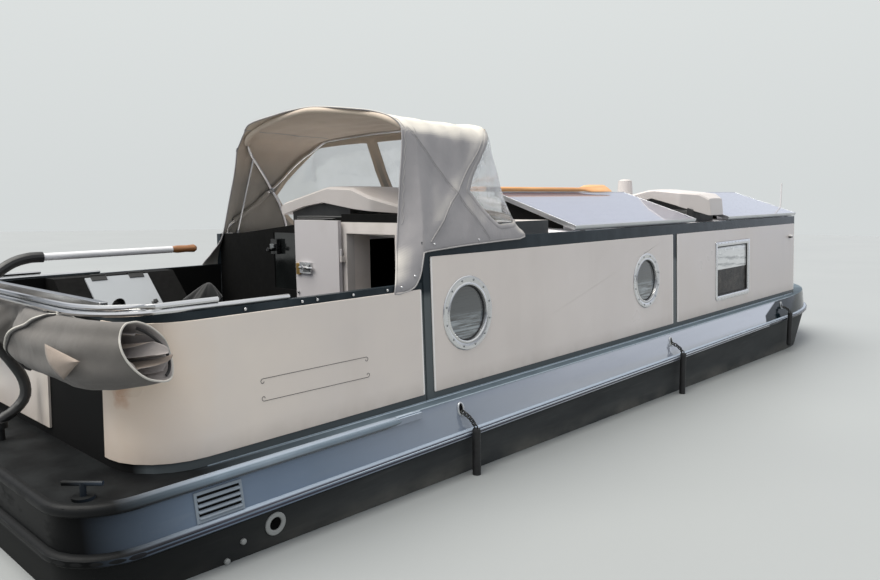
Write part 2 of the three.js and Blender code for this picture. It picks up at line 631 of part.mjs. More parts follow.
// Sprayhood: a canvas shell open aft and below, through arches from aft to forward.
// An arch is given for one side as [x, half width, z] points, from its foot to the crown.
const HOOD_FRONT = 3035;
const HOOD_ARCHES = [
  [[1815, 1116, 657], [1850, 1112, 700], [1925, 1040, 790], [1970, 1005, 950], [2030, 965, 1300],
    [2060, 937, 1550], [2062, 898, 1605], [2035, 814, 1655], [1965, 605, 1705], [1958, 210, 1750], [1958, 0, 1757]],
  [[2025, 1117, 656], [2025, 1117, 700], [2030, 1117, 790], [2050, 1112, 950], [2110, 1000, 1300],
    [2150, 945, 1550], [2155, 905, 1600], [2150, 830, 1650], [2110, 605, 1695], [2110, 210, 1738], [2110, 0, 1744]],
  [[2650, 1117, 656], [2650, 1117, 700], [2650, 1117, 790], [2670, 1112, 950], [2760, 1010, 1250],
    [2810, 945, 1494], [2815, 905, 1575], [2825, 830, 1630], [2860, 600, 1655], [2885, 210, 1664], [2890, 0, 1665]],
  [[3020, 1117, 656], [3020, 1117, 700], [3020, 1117, 790], [3015, 1110, 925], [3002, 1070, 962],
    [3004, 1000, 975], [3010, 905, 984], [3018, 814, 990], [3030, 600, 994], [HOOD_FRONT, 210, 996],
    [HOOD_FRONT, 0, 996]],
];
const CANVAS_THICK = 14;
function hoodRing(arch, inset, moveX) {
  const side = arch.map(([x, half, z]) => [x + moveX, half - (half > 0 ? inset : 0), z - inset]);
  const port = side.slice(0, -1).map(([x, half, z]) => [x, half, z]).reverse();
  return [...side.map(([x, half, z]) => [x, -half, z]), ...port];
}

function makeSprayhood() {
  const [rim, second, third, last] = HOOD_ARCHES;
  const outside = loft(HOOD_ARCHES.map((arch) => hoodRing(arch, 0, 0)));
  const inside = loft([
    hoodRing(rim, CANVAS_THICK, -300), hoodRing(rim, CANVAS_THICK, -2), hoodRing(second, CANVAS_THICK, 0),
    hoodRing(third, CANVAS_THICK, -8), hoodRing(last, CANVAS_THICK, -16),
  ]);
  const insideBulwark = CABIN_HALF - FACE_INSET - LEAN * BULWARK_CLAD_HIGH + SEAT;
  const openBelow = box(1500, HOOD_FRONT + 100, -insideBulwark, insideBulwark, 400, BULWARK_TOP + SEAT);
  const aheadOfLeg = prism([[1835, 600], [1917, 673], [1990, 712], [2040, 866], [HOOD_FRONT + 100, 866],
    [HOOD_FRONT + 100, 600]], 'y', -1400, 1400);
  const cabinTop = box(BULKHEAD_X, HOOD_FRONT + 100, -CABIN_HALF + 25, CABIN_HALF - 25, 0, ROOF_EDGE_Z + SEAT);
  const overGarage = box(2600, HOOD_FRONT + 100, GARAGE.y0 - 12, GARAGE.y1 + 12, 800, GARAGE.z1 + 12);
  return cut(outside, inside, openBelow, aheadOfLeg, cabinTop, overGarage, belowRoof(SEAT));
}

// Two hoops carry the hood and cross on either side: the aft one's feet stand forward, the front one's aft
const HOOP_FEET = { aft: 2110, front: 2630, half: 1061, z: ROOF_EDGE_Z + SEAT };
const HOOP_CROSSING = { x: 2440, half: 968, z: 1200 };
const HOOP_INSET = 42;
function makeHoodFrame() {
  const { half, z } = HOOP_FEET;
  const legs = (x, sign) => [[x, sign * half, z + 16],
    [HOOP_CROSSING.x, sign * HOOP_CROSSING.half, HOOP_CROSSING.z]];
  const hoop = (arch, moveX, x) => {
    const points = hoodRing(arch, HOOP_INSET, moveX).slice(5, -5);
    return tube([...legs(x, -1), ...points, ...legs(x, 1).reverse()], 12.5, 48, 8);
  };
  const foot = (x, y) => box(x - 45, x + 45, y - 13, y + 13, z, z + 24);
  const feet = [HOOP_FEET.aft, HOOP_FEET.front].flatMap((x) => [foot(x, -half), foot(x, half)]);
  return join(hoop(HOOD_ARCHES[1], 60, HOOP_FEET.front), hoop(HOOD_ARCHES[2], -48, HOOP_FEET.aft), ...feet);
}

// The rear cover's two hoops, folded down: their legs lie on the bulwark, their tops reach out over the stern
const COVER_HOOPS = {
  long: { foot: 1117, half: 1085, z: BULWARK_TOP + SEAT + 12.5, cross: 205 },
  short: { foot: 739, half: 1078, z: BULWARK_TOP + SEAT + 12.5 + 25.4, cross: 218 },
};
function makeCoverHoop({ foot, half, z, cross }) {
  const side = [[foot, half], [foot - 200, half], [foot - 330, half], [420, half - 25], [290, half - 120],
    [cross + 12, half - 280], [cross, half - 420], [cross, 300], [cross, 0]];
  const port = side.slice(0, -1).reverse();
  const points = [...side.map(([x, y]) => [x, -y, z]), ...port.map(([x, y]) => [x, y, z])];
  return tube(points, 12.5, 60, 8);
}

// Rear cover, rolled up below its hoops along the outside of the stern, thin where it passes the tiller's neck.
// Its starboard sections are [x, y, half width, lowest z, turn of the section in plan in degrees].
const COVER_TOP = 692;
const COVER_SIDES = 12;
const COVER_SECTIONS = [
  [262, 0, 34, 560, 0],
  [258, -170, 36, 540, 0],
  [212, -330, 92, 420, 0],
  [205, -700, 98, 405, 0],
  [214, -960, 98, 395, 12],
  [300, -1150, 92, 392, 45],
  [420, -1232, 72, 440, 72],
];
function coverRing([x, y, halfWide, low, turn]) {
  const along = (turn * Math.PI) / 180;
  const points = [];
  for (let i = 0; i < COVER_SIDES; i += 1) {
    const angle = (2 * Math.PI * i) / COVER_SIDES;
    const out = halfWide * Math.cos(angle);
    points.push([x + out * Math.cos(along), y + out * Math.sin(along),
      (low + COVER_TOP) / 2 + ((COVER_TOP - low) / 2) * Math.sin(angle)]);
  }
  return points;
}

function makeRearCover() {
  const starboard = COVER_SECTIONS.map(coverRing);
  const port = starboard.slice(1).map((ring) => ring.map(([x, y, z]) => [x, -y, z]));
  const roll = loft([...starboard.reverse(), ...port]);
  const keepOff = CLAD + 2 * SEAT;
  const bulwark = [SEAT, BULWARK_TOP].map((z) =>
    bothSides(bulwarkOutline(LEAN * z - keepOff, BULKHEAD_X)).map(([x, y]) => [x, y, z]));
  return cut(roll, loft(bulwark));
}

// Steering
function makeRudder() {
  const stock = rod([RUDDER_X, 0, SKEG_TOP + 8], [RUDDER_X, 0, 60], STOCK_RADIUS, 20);
  const pin = rod([RUDDER_X, 0, SKEG_TOP - 18], [RUDDER_X, 0, SKEG_TOP + 20], 15, 16);
  const blade = box(RUDDER_TAIL, RUDDER_X + 110, -8, 8, -940, -540);
  return join(stock, pin, blade);
}

const NECK_RADIUS = 27;
const TILLER_Z = 895;
function makeSwanNeck() {
  const curve = [
    [RUDDER_X, 0, 70], [RUDDER_X + 4, 0, 95], [RUDDER_X + 70, 0, 130], [RUDDER_X + 128, 0, 195],
    [RUDDER_X + 128, 0, 280], [RUDDER_X + 70, 0, 400], [RUDDER_X - 10, 0, 520], [RUDDER_X - 40, 0, 650],
    [RUDDER_X, 0, 780], [RUDDER_X + 110, 0, 870], [RUDDER_X + 200, 0, TILLER_Z], [RUDDER_X + 262, 0, TILLER_Z],
  ];
  const collar = rod([RUDDER_X, 0, 60 + SEAT], [RUDDER_X, 0, 92], 40, 16);
  return join(tube(curve, NECK_RADIUS, 40, 12), collar);
}

const BAR = { x0: RUDDER_X + 262, x1: 1090, x2: 1240 };
function makeTillerBar() {
  return rod([BAR.x0 + SEAT, 0, TILLER_Z], [BAR.x1, 0, TILLER_Z], 19, 14);
}

function makeTillerGrip() {
  const profile = [[0, 0], [17, 0], [22, 30], [20, 90], [23, 135], [14, 150], [0, 150]];
  const geometry = new THREE.LatheGeometry(profile.map(([r, h]) => new THREE.Vector2(r, h)), 16);
  geometry.rotateZ(-Math.PI / 2);
  geometry.translate(BAR.x1 + SEAT, 0, TILLER_Z);
  return solid(geometry);
}

const PROP = { x0: 470, x1: 600, radius: 180, blades: 3 };
function makePropeller() {
  const hub = rod([PROP.x0, 0, SHAFT_Z], [PROP.x1, 0, SHAFT_Z], 34, 16, 38);
  const shaft = rod([PROP.x1 - 10, 0, SHAFT_Z], [STERN_POST_X + 100, 0, SHAFT_Z], SHAFT_RADIUS, 16);
  const blades = [];
  for (let i = 0; i < PROP.blades; i += 1) {
    const angle = (2 * Math.PI * i) / PROP.blades;
    const rings = [[20, 34, 50], [80, 60, 38], [140, 66, 26], [PROP.radius, 34, 18]].map(([r, half, twist]) => {
      const t = (twist * Math.PI) / 180;
      const [dx, dy] = [half * Math.sin(t), half * Math.cos(t)];
      const [tx, ty] = [6 * Math.cos(t), -6 * Math.sin(t)];
      return [[dx + tx, dy + ty], [dx - tx, dy - ty], [-dx - tx, -dy - ty], [-dx + tx, -dy + ty]]
        .map(([x, y]) => [x, y, r]);
    });
    const blade = geometryOf(loft(rings));
    blade.rotateX(angle);
    blade.translate((PROP.x0 + PROP.x1) / 2, 0, SHAFT_Z);
    blades.push(solid(blade));
  }
  return join(hub, shaft, ...blades);
}

function makeEngine() {
  return box(ENGINE_BAY.x0 + 60, ENGINE_BAY.x1 - 100, -240, 240, ENGINE_BAY.floor + SEAT, -30);
}

function makeCockpitFloor() {
  const outline = bothSides(bulwarkOutline(BULWARK_WALL + LEAN * FLOOR_TOP + SEAT, BULKHEAD_X - SEAT));
  return prism(outline, 'z', SEAT, FLOOR_TOP);
}

// Port console with its sloping white flap
const CONSOLE = { x0: 760, x1: 1560, y0: 640, y1: CABIN_HALF - BULWARK_WALL - SEAT };
const CONSOLE_TOP = 690;
function makeConsole() {
  const { x0, x1, y0, y1 } = CONSOLE;
  const side = (z) => y1 - LEAN * z;
  const foot = FLOOR_TOP + SEAT;
  const body = prism([[y0, foot], [side(FLOOR_TOP), foot], [side(CONSOLE_TOP), CONSOLE_TOP],
    [FLAP_SLOPE.y1, CONSOLE_TOP], [y0, FLAP_SLOPE.z0]], 'x', x0, x1);
  const [axisY, axisZ] = slopePoint(FLAP_LENGTH - 10, 8);
  const posts = FLAP_HINGE_X.map((x) => join(
    rod([x, axisY, axisZ], [x + 40, axisY, axisZ], 7),
    prism([slopePoint(FLAP_LENGTH - 14, -20), slopePoint(FLAP_LENGTH - 6, -20), slopePoint(FLAP_LENGTH - 6, 8),
      slopePoint(FLAP_LENGTH - 14, 8)], 'x', x, x + 40),
  ));
  return join(body, ...posts);
}

const FLAP = { x0: 940, x1: 1360, thick: 14 };
const FLAP_SLOPE = { y0: CONSOLE.y0, z0: 430, y1: CONSOLE.y1 - 170, z1: CONSOLE_TOP };
const FLAP_LENGTH = Math.hypot(FLAP_SLOPE.y1 - FLAP_SLOPE.y0, FLAP_SLOPE.z1 - FLAP_SLOPE.z0);
const FLAP_HINGE_X = [FLAP.x0 + 60, FLAP.x1 - 140];

// A point on the console's slope, given along it from its foot and lifted off it, as [y, z]
function slopePoint(along, lift) {
  const { y0, z0, y1, z1 } = FLAP_SLOPE;
  const [cos, sin] = [(y1 - y0) / FLAP_LENGTH, (z1 - z0) / FLAP_LENGTH];
  return [y0 + cos * along - sin * lift, z0 + sin * along + cos * lift];
}

function makeFlap() {
  const { x0, x1, thick } = FLAP;
  const end = FLAP_LENGTH - 22;
  const [axisY, axisZ] = slopePoint(FLAP_LENGTH - 10, 8);
  const section = [slopePoint(20, 1), slopePoint(end, 1), slopePoint(end, thick), slopePoint(20, thick)];
  const leaf = prism(section, 'x', x0, x1);
  const eyes = FLAP_HINGE_X.map((x) => join(
    rod([x + 40.5, axisY, axisZ], [x + 80, axisY, axisZ], 7),
    prism([slopePoint(end - 5, 5), slopePoint(FLAP_LENGTH - 10, 5), slopePoint(FLAP_LENGTH - 10, 11),
      slopePoint(end - 5, 11)], 'x', x + 40.5, x + 80),
  ));
  return join(leaf, ...eyes);
}

// Each stud's crossbar reaches dx and dy to both sides of its post
const STUDS = [
  { x: 105, y: -1083, dx: 54, dy: -62 },
  { x: 105, y: 1083, dx: 54, dy: 62 },
  { x: 9500, y: 0, dx: 0, dy: 80 },
];
function mooringStud(x, y, dx, dy) {
  return join(
    rod([x, y, -5], [x, y, 12], 45, 16),
    rod([x, y, 5], [x, y, 68], 13, 12),
    rod([x - dx, y - dy, 64], [x + dx, y + dy, 64], 11, 12),
  );
}

// Fenders hang from an eye on the hull plate by a short rope over the strake.
// eye and tube are places along the boat, out is how far the tube's axis is outside the strake.
const FENDER_RADIUS = 32;
const ROPE_RADIUS = 7;
const FENDERS = {
  aft: { eye: 2210, tube: 2226, out: ROPE_RADIUS + 2 * SEAT, z0: -690, z1: -250 },
  mid: { eye: 4986, tube: 4940, out: ROPE_RADIUS + 2 * SEAT, z0: -690, z1: -250 },
  bow: { eye: 7720, tube: 7695, out: FENDER_RADIUS + 2 * SEAT, z0: -490, z1: -112 },
};
const EYE_Z = -66;
function makeFender(side, { eye, tube: x, out, z0, z1 }) {
  const sign = side === 'port' ? 1 : -1;
  const y = sign * (STRAKE_HALF + STRAKE_OUT + out);
  const plate = sign * (DECK_HALF + 15.5);
  const bend = Math.max(z1 + 20, -180);
  return join(
    tube([[eye, plate + sign * 8, EYE_Z], [(eye + x) / 2, (plate + y) / 2 + sign * 12, (EYE_Z + bend) / 2],
      [x, y, bend], [x, y, z1 - 15]], ROPE_RADIUS, 10, 8),
    rod([x, y, z0], [x, y, z1], FENDER_RADIUS, 14),
    rod([eye, plate, EYE_Z], [eye, plate + sign * 14, EYE_Z], 16, 12),
  );
}

// Assembly
const boat = new THREE.Group();
function add(name, body, material) {
  const mesh = new THREE.Mesh(geometryOf(body), material);
  mesh.name = name;
  boat.add(mesh);
}

add('hull', makeHull(), DARK_GREEN);
add('bulwark', makeBulwark(), DARK_GREEN);
add('transom_rail', makeTransomRail(), STEEL);
add('cabin_front', makeCabinFront(), DARK_GREEN);
add('front_door', makeFrontDoor(), DARK_GREEN);
add('aft_bulkhead', makeAftBulkhead(), BLACK);
add('bulkhead_pane', makeBulkheadPane(), GLASS);
add('door_frame', makeDoorFrame(), PALE_GREY);
add('aft_door', makeAftDoor(), WHITE);
for (const [name, sizes] of Object.entries(ROOF_PLATES)) add(name, makeRoofPlate(sizes), ROOF_WHITE);
add('hatch', makeHatch(), PALE_GREY);
add('hatch_garage', makeGarage(), BLACK);
for (const side of ['starboard', 'port']) {
  add(`cabin_side_${side}`, makeCabinSide(side), DARK_GREEN);
  add(`cladding_bulwark_${side}`, makeBulwarkCladding(side), CREAM);
  add(`cladding_aft_${side}`, makeCladding(side, SEAM_AFT[1], SEAM_MID[0]), CREAM);
  add(`cladding_front_${side}`, makeCladding(side, SEAM_MID[1], CLAD_END), CREAM);
  PORTHOLES_X.forEach((x, i) => add(`porthole_${side}_${i + 1}`, makePorthole(side, x), STEEL));
  add(`window_${side}`, makeWindow(side), STEEL);
  for (const [place, sizes] of Object.entries(FENDERS)) {
    add(`fender_${side}_${place}`, makeFender(side, sizes), RUBBER);
  }
}
add('solar_panel_aft', makeSolarPanel(SOLAR_AFT), PANEL);
add('solar_panel_front', makeSolarPanel(SOLAR_FRONT), PANEL);
add('air_conditioner_aft', makeAirConditioner(AIR_CONDITIONERS.aft), WHITE);
add('air_conditioner_front', makeAirConditioner(AIR_CONDITIONERS.front), WHITE);
add('antenna', makeAntenna(), WHITE);
add('oar', makeOar(), WOOD);
add('staff', makeStaff(), WHITE);
add('sprayhood', makeSprayhood(), CANVAS);
add('sprayhood_frame', makeHoodFrame(), STEEL);
for (const [name, sizes] of Object.entries(COVER_HOOPS)) add(`cover_hoop_${name}`, makeCoverHoop(sizes), STEEL);
add('rear_cover', makeRearCover(), CANVAS);
add('rudder', makeRudder(), BLACK);
add('swan_neck', makeSwanNeck(), BLACK);
add('tiller_bar', makeTillerBar(), STEEL);
add('tiller_grip', makeTillerGrip(), WOOD);
add('propeller', makePropeller(), BRONZE);
add('engine', makeEngine(), PALE_GREY);
add('cockpit_floor', makeCockpitFloor(), BLACK);
add('port_console', makeConsole(), BLACK);
add('console_flap', makeFlap(), WHITE);

const middle = (RUDDER_TAIL + STEM_END) / 2;
boat.position.set(-middle, 0, HULL_DEPTH);

export default boat;
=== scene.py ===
# A steel houseboat of about ten metres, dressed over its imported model: paint, canvas, glass, bright metal,
# and the small fittings that the model leaves out.
# Boat coordinates in metres: X from the aft edge of the deck to the bow, Y to port, Z up from the deck.
import bisect
from math import atan2, copysign, cos, exp, hypot, pi, radians, sin, sqrt

import bmesh
import bpy
from mathutils import Euler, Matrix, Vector
from mathutils.bvhtree import BVHTree


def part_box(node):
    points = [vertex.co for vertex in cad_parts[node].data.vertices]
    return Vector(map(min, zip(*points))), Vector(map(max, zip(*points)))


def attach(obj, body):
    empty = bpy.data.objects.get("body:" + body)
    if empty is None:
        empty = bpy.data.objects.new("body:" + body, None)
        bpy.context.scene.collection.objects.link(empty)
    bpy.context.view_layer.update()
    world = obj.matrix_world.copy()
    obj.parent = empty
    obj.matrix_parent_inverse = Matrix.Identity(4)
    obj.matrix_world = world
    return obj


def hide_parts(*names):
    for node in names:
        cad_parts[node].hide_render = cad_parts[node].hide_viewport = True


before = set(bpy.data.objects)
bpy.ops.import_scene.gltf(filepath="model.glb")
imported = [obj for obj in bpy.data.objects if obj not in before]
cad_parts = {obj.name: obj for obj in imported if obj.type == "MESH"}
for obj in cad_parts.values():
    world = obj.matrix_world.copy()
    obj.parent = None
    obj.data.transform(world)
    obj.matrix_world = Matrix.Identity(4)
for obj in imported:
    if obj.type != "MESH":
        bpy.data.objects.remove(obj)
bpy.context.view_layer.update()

# Where the boat lies in the model's frame. Seated parts keep a small gap.
SEAT = 0.0003
RUDDER_TAIL = -0.230
ORIGIN_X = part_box("rudder")[0][0] - RUDDER_TAIL
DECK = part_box("bulwark")[0][2] - SEAT

# Driving dimensions. Sides lean in with height. The waterline is given in the model's frame, and slopes.
CABIN_HALF = 1.130
LEAN = 0.028 / 0.924
CLAD = 0.008
DECK_HALF = 1.227
STRAKE_Z = -0.215
UPPER_BAR_Z = -0.023
ROOF_EDGE_Z = 0.924
ROOF_SKIN_Z = 0.918
ROOF_CAMBER = 0.035
BULKHEAD_X = 2.030
CABIN_FRONT = 8.450
TRANSOM_X = 0.322
STERN_RADIUS = 0.300
PORTHOLE_Z = 0.474
WATERLINE = {"height": 0.481, "slope": -0.0251}
SIDES = {"starboard": -1, "port": 1}
SHEETS = ("cladding_bulwark", "cladding_aft", "cladding_front")


def at(x, y, z):
    """A place in the model's frame from boat coordinates."""
    return Vector((ORIGIN_X + x, y, DECK + z))


FORWARD = Vector((1, 0, 0))
UPWARD = Vector((0, 0, 1))


def tone(red, green, blue):
    """A colour from values of 0 to 255 as a screen shows them."""
    linear = [((v / 255 + 0.055) / 1.055) ** 2.4 if v > 10 else v / 3294.6 for v in (red, green, blue)]
    return (*linear, 1.0)


# Mesh making. Edges that turn by more than this stay crisp or get their round.
CRISP_ANGLE = radians(30)


def angles_round(count):
    return [2 * pi * k / count for k in range(count)]


def clamped(share):
    return min(max(share, 0.0), 1.0)


class Form:
    """Points and faces of a mesh in the making. Each face carries a material number."""

    def __init__(self):
        self.points = []
        self.faces = []
        self.slots = []

    def add(self, points, faces, slot=0):
        start = len(self.points)
        self.points += [Vector(p) for p in points]
        self.faces += [[start + i for i in face] for face in faces]
        self.slots += [slot] * len(faces)
        return self

    def rings(self, rings, slot=0, caps=True, closed=True):
        """A skin through rings of equally many points."""
        count = len(rings[0])
        last = count if closed else count - 1
        faces = []
        for r in range(len(rings) - 1):
            for i in range(last):
                a, b = r * count + i, r * count + (i + 1) % count
                faces.append([a, b, b + count, a + count])
        if caps:
            faces.append(list(range(count))[::-1])
            faces.append([(len(rings) - 1) * count + i for i in range(count)])
        return self.add([p for ring in rings for p in ring], faces, slot)

    def box(self, x, y, z, slot=0):
        """A block from (low, high) pairs in boat coordinates."""
        ring = [(x[0], y[0]), (x[1], y[0]), (x[1], y[1]), (x[0], y[1])]
        return self.rings([[at(px, py, height) for px, py in ring] for height in z], slot)

    def tube(self, path, radius, sides=12, slot=0):
        """A round bar along points."""
        side = None
        rings = []
        for i, point in enumerate(path):
            ahead = (path[min(i + 1, len(path) - 1)] - path[max(i - 1, 0)]).normalized()
            if side is None:
                side = ahead.orthogonal().normalized()
            side = (side - ahead * side.dot(ahead)).normalized()
            up = ahead.cross(side)
            rings.append([point + (side * cos(a) + up * sin(a)) * radius for a in angles_round(sides)])
        return self.rings(rings, slot)

    def round_tube(self, path, radius, sides, slot):
        """A round bar along points and back to the first."""
        return self.tube([*path, path[0]], radius, sides, slot)

    def lathe(self, profile, centre, axis, sides=24, slot=0, side=None, caps=True):
        """A turned shape: the profile is of (radius, distance along the axis) pairs."""
        axis = Vector(axis).normalized()
        side = side or axis.orthogonal().normalized()
        up = axis.cross(side)
        rings = [[centre + axis * along + (side * cos(a) + up * sin(a)) * radius
                  for a in angles_round(sides)] for radius, along in profile]
        return self.rings(rings, slot, caps)


def smooth_line(points, steps):
    """Catmull-Rom points through the given ones, spread by their distances."""
    points = [Vector(p) for p in points]
    ends = [points[0] * 2 - points[1], *points, points[-1] * 2 - points[-2]]
    knots = [0.0]
    for a, b in zip(ends, ends[1:]):
        knots.append(knots[-1] + max((b - a).length, 1e-6) ** 0.5)
    line = []
    first, last = knots[1], knots[-2]
    for i in range(steps + 1):
        t = first + (last - first) * i / steps
        k = 1
        while k < len(knots) - 3 and t > knots[k + 1]:
            k += 1
        k0, k1, k2, k3 = knots[k - 1:k + 3]
        p0, p1, p2, p3 = ends[k - 1:k + 3]
        a1 = p0.lerp(p1, (t - k0) / (k1 - k0))
        a2 = p1.lerp(p2, (t - k1) / (k2 - k1))
        a3 = p2.lerp(p3, (t - k2) / (k3 - k2))
        b1 = a1.lerp(a2, (t - k0) / (k2 - k0))
        b2 = a2.lerp(a3, (t - k1) / (k3 - k1))
        line.append(b1.lerp(b2, (t - k1) / (k2 - k1)))
    return line


def evenly(line, steps):
    """The same line with evenly spaced points."""
    lengths = [0.0]
    for a, b in zip(line, line[1:]):
        lengths.append(lengths[-1] + (b - a).length)
    points = []
    k = 0
    for i in range(steps + 1):
        want = lengths[-1] * i / steps
        while k < len(line) - 2 and lengths[k + 1] < want:
            k += 1
        span = max(lengths[k + 1] - lengths[k], 1e-9)
        points.append(line[k].lerp(line[k + 1], min(1.0, (want - lengths[k]) / span)))
    return points


def piece(name, form, materials, body="boat", bevel=0.0, angle=35, replaces=()):
    """A mesh object made of a form, riding on a body."""
    mesh = bpy.data.meshes.new(name)
    mesh.from_pydata(form.points, [], form.faces)
    for material in materials:
        mesh.materials.append(material)
    mesh.polygons.foreach_set("material_index", form.slots)
    work = bmesh.new()
    work.from_mesh(mesh)
    bmesh.ops.recalc_face_normals(work, faces=work.faces)
    work.to_mesh(mesh)
    work.free()
    mesh.shade_smooth()
    mesh.set_sharp_from_angle(angle=radians(angle))
    thing = bpy.data.objects.new(name, mesh)
    bpy.context.collection.objects.link(thing)
    if bevel:
        round_edges(thing, bevel)
    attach(thing, body)
    if replaces:
        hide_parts(*replaces)
    return thing


def round_edges(thing, width):
    bevel = thing.modifiers.new("Rounded edges", "BEVEL")
    bevel.width = width
    bevel.segments = 2
    bevel.limit_method = "ANGLE"
    bevel.angle_limit = CRISP_ANGLE
    bevel.harden_normals = True


def make_cloth(thing, width, spare, digits, thick, lining=0, **says):
    cloth = thing.modifiers.new("Cloth thickness", "SOLIDIFY")
    cloth.thickness = thick
    cloth.offset = -1
    cloth.material_offset = lining


def dress(node, material, bevel=0.0):
    """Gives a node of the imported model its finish; its edges stay crisp or get a small round."""
    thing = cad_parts[node]
    mesh = thing.data
    mesh.materials.clear()
    mesh.materials.append(material)
    for polygon in mesh.polygons:
        polygon.material_index = 0
        polygon.use_smooth = True
    if "custom_normal" in mesh.attributes:
        mesh.attributes.remove(mesh.attributes["custom_normal"])
    thing.modifiers.new("Weld", "WELD").merge_threshold = 0.00005
    if bevel:
        round_edges(thing, bevel)
    else:
        thing.modifiers.new("Crisp edges", "EDGE_SPLIT").split_angle = CRISP_ANGLE


# Materials


class Nodes:
    """A node tree in the making, of a material or a sky. It is switched on for its owner."""

    def __init__(self, owner):
        owner.use_nodes = True
        self.tree = owner.node_tree

    def node(self, kind, inputs=None, **settings):
        made = self.tree.nodes.new(kind)
        for key, value in settings.items():
            setattr(made, key, value)
        for key, value in (inputs or {}).items():
            if isinstance(value, bpy.types.NodeSocket):
                self.tree.links.new(value, made.inputs[key])
            else:
                made.inputs[key].default_value = value
        return made

    def ranged(self, value, low, high, to_low=0.0, to_high=1.0):
        """value from low to high, as to_low to to_high, held at the ends."""
        made = self.node("ShaderNodeMapRange", {
            "Value": value, "From Min": low, "From Max": high, "To Min": to_low, "To Max": to_high})
        return made.outputs["Result"]

    def mixed_colour(self, factor, a, b):
        return self.node("ShaderNodeMix", {0: factor, 6: a, 7: b}, data_type="RGBA").outputs[2]


class Finish(Nodes):
    """A principled material in the making. A colour is a tone of three values or comes from a node."""

    def __init__(self, name, **sockets):
        self.material = bpy.data.materials.new(name)
        super().__init__(self.material)
        self.shader = self.tree.nodes["Principled BSDF"]
        for key, value in sockets.items():
            self.shader.inputs[key.replace("_", " ")].default_value = value
        self.where = self.node("ShaderNodeTexCoord").outputs["Object"]

    def texture(self, kind, stretch, inputs, **settings):
        vector = self.where
        if stretch:
            vector = self.node("ShaderNodeMapping", {"Vector": vector, "Scale": stretch}).outputs["Vector"]
        return self.node(kind, {"Vector": vector, **inputs}, **settings).outputs["Fac"]

    def noise(self, scale, detail=3.0, stretch=None):
        return self.texture("ShaderNodeTexNoise", stretch,
                            {"Scale": scale, "Detail": detail, "Roughness": 0.55})

    def wave(self, scale, stretch, direction="X", profile="SIN"):
        return self.texture("ShaderNodeTexWave", stretch, {"Scale": scale},
                            bands_direction=direction, wave_profile=profile)

    def axis(self, name):
        return self.node("ShaderNodeSeparateXYZ", {"Vector": self.where}).outputs[name]

    def height(self):
        """Height above the deck."""
        return self.maths("SUBTRACT", self.axis("Z"), DECK)

    def normal(self):
        return self.node("ShaderNodeNewGeometry").outputs["True Normal"]

    def facing_up(self, low, high):
        """How far the surface looks up, from low to high."""
        upward = self.node("ShaderNodeSeparateXYZ", {"Vector": self.normal()}).outputs["Z"]
        return self.ranged(upward, low, high)

    def maths(self, operation, a, b):
        return self.node("ShaderNodeMath", {0: a, 1: b}, operation=operation).outputs[0]

    def vectors(self, operation, a, b=(0, 0, 0), output="Vector"):
        return self.node("ShaderNodeVectorMath", {0: a, 1: b}, operation=operation).outputs[output]

    def times(self, product, *factors):
        for factor in factors:
            product = self.maths("MULTIPLY", product, factor)
        return product

    def patches(self, noise, low, high, to_low=0.0, to_high=1.0):
        """A noise, given by its scale, detail and stretch, from low to high."""
        return self.ranged(self.noise(*noise), low, high, to_low, to_high)

    def along(self, low, high, to_low=0.0, to_high=1.0):
        """The place along the boat from low to high."""
        return self.ranged(self.axis("X"), ORIGIN_X + low, ORIGIN_X + high, to_low, to_high)

    def scaled(self, mask, at_none, at_full):
        return self.ranged(mask, 0, 1, at_none, at_full)

    def mix(self, factor, a, b):
        return self.node("ShaderNodeMix", {0: factor, 2: a, 3: b}, data_type="FLOAT").outputs[0]

    def layers(self, colour, *over):
        """A colour with others laid over it in turn, each given as (mask, colour)."""
        for mask, upper in over:
            a, b = (v if isinstance(v, bpy.types.NodeSocket) else tone(*v) for v in (colour, upper))
            colour = self.mixed_colour(mask, a, b)
        return colour

    def bump(self, height, strength, distance, normal=None):
        inputs = {"Height": height, "Strength": strength, "Distance": distance}
        if normal:
            inputs["Normal"] = normal
        return self.node("ShaderNodeBump", inputs).outputs["Normal"]

    def wire(self, colour, rough=None, **sockets):
        """Wires the colour, the roughness and other sockets to the shader, and gives the material."""
        sockets["Base_Color"] = colour
        if rough:
            sockets["Roughness"] = rough
        for key, value in sockets.items():
            self.tree.links.new(value, self.shader.inputs[key.replace("_", " ")])
        return self.material


def shaded(colour, share):
    """A tone made darker or lighter."""
    return [v * share for v in colour]


def slant_gloss(finish, low, high):
    """A clear coat that shows where the paint is seen at a slant."""
    facing = finish.node("ShaderNodeLayerWeight", {"Blend": 0.5}).outputs["Facing"]
    return finish.ranged(facing, 0.15, 0.55, low, high)


# The dark bow end of the hull's band: its upright aft edge, and the foot and slope of its upper edge
BOW_PATCH = {"x": 7.17, "z": -0.12, "rise": 0.33}


def bow_patch(finish, height):
    """A mask of what lies ahead of the patch's aft edge and below its upper edge."""
    x, z, rise = BOW_PATCH.values()
    rising = finish.times(finish.maths("SUBTRACT", finish.axis("X"), ORIGIN_X + x), rise)
    above = finish.maths("SUBTRACT", finish.maths("SUBTRACT", height, z), rising)
    return finish.times(finish.along(x, x + 0.02), finish.ranged(above, 0.008, -0.008))


def band_colour(finish, scuffs, bow, dark_stern):
    """The band above the strake: blue-grey aft, paled forward as a painted sky reflection, dark at the bow,
    darker at the stern.
    """
    return finish.layers(
        (101, 116, 134),
        (finish.patches((1.2, 4), 0.35, 0.7), (109, 124, 144)),
        # Painted sky reflection: the band turns paler forward.
        (finish.along(1.1, 3.4), (157, 162, 173)),
        (bow, (14, 27, 33)),
        (finish.scaled(scuffs, 0.0, 0.15), (122, 130, 138)),
        (dark_stern, (9, 10, 11)),
    )


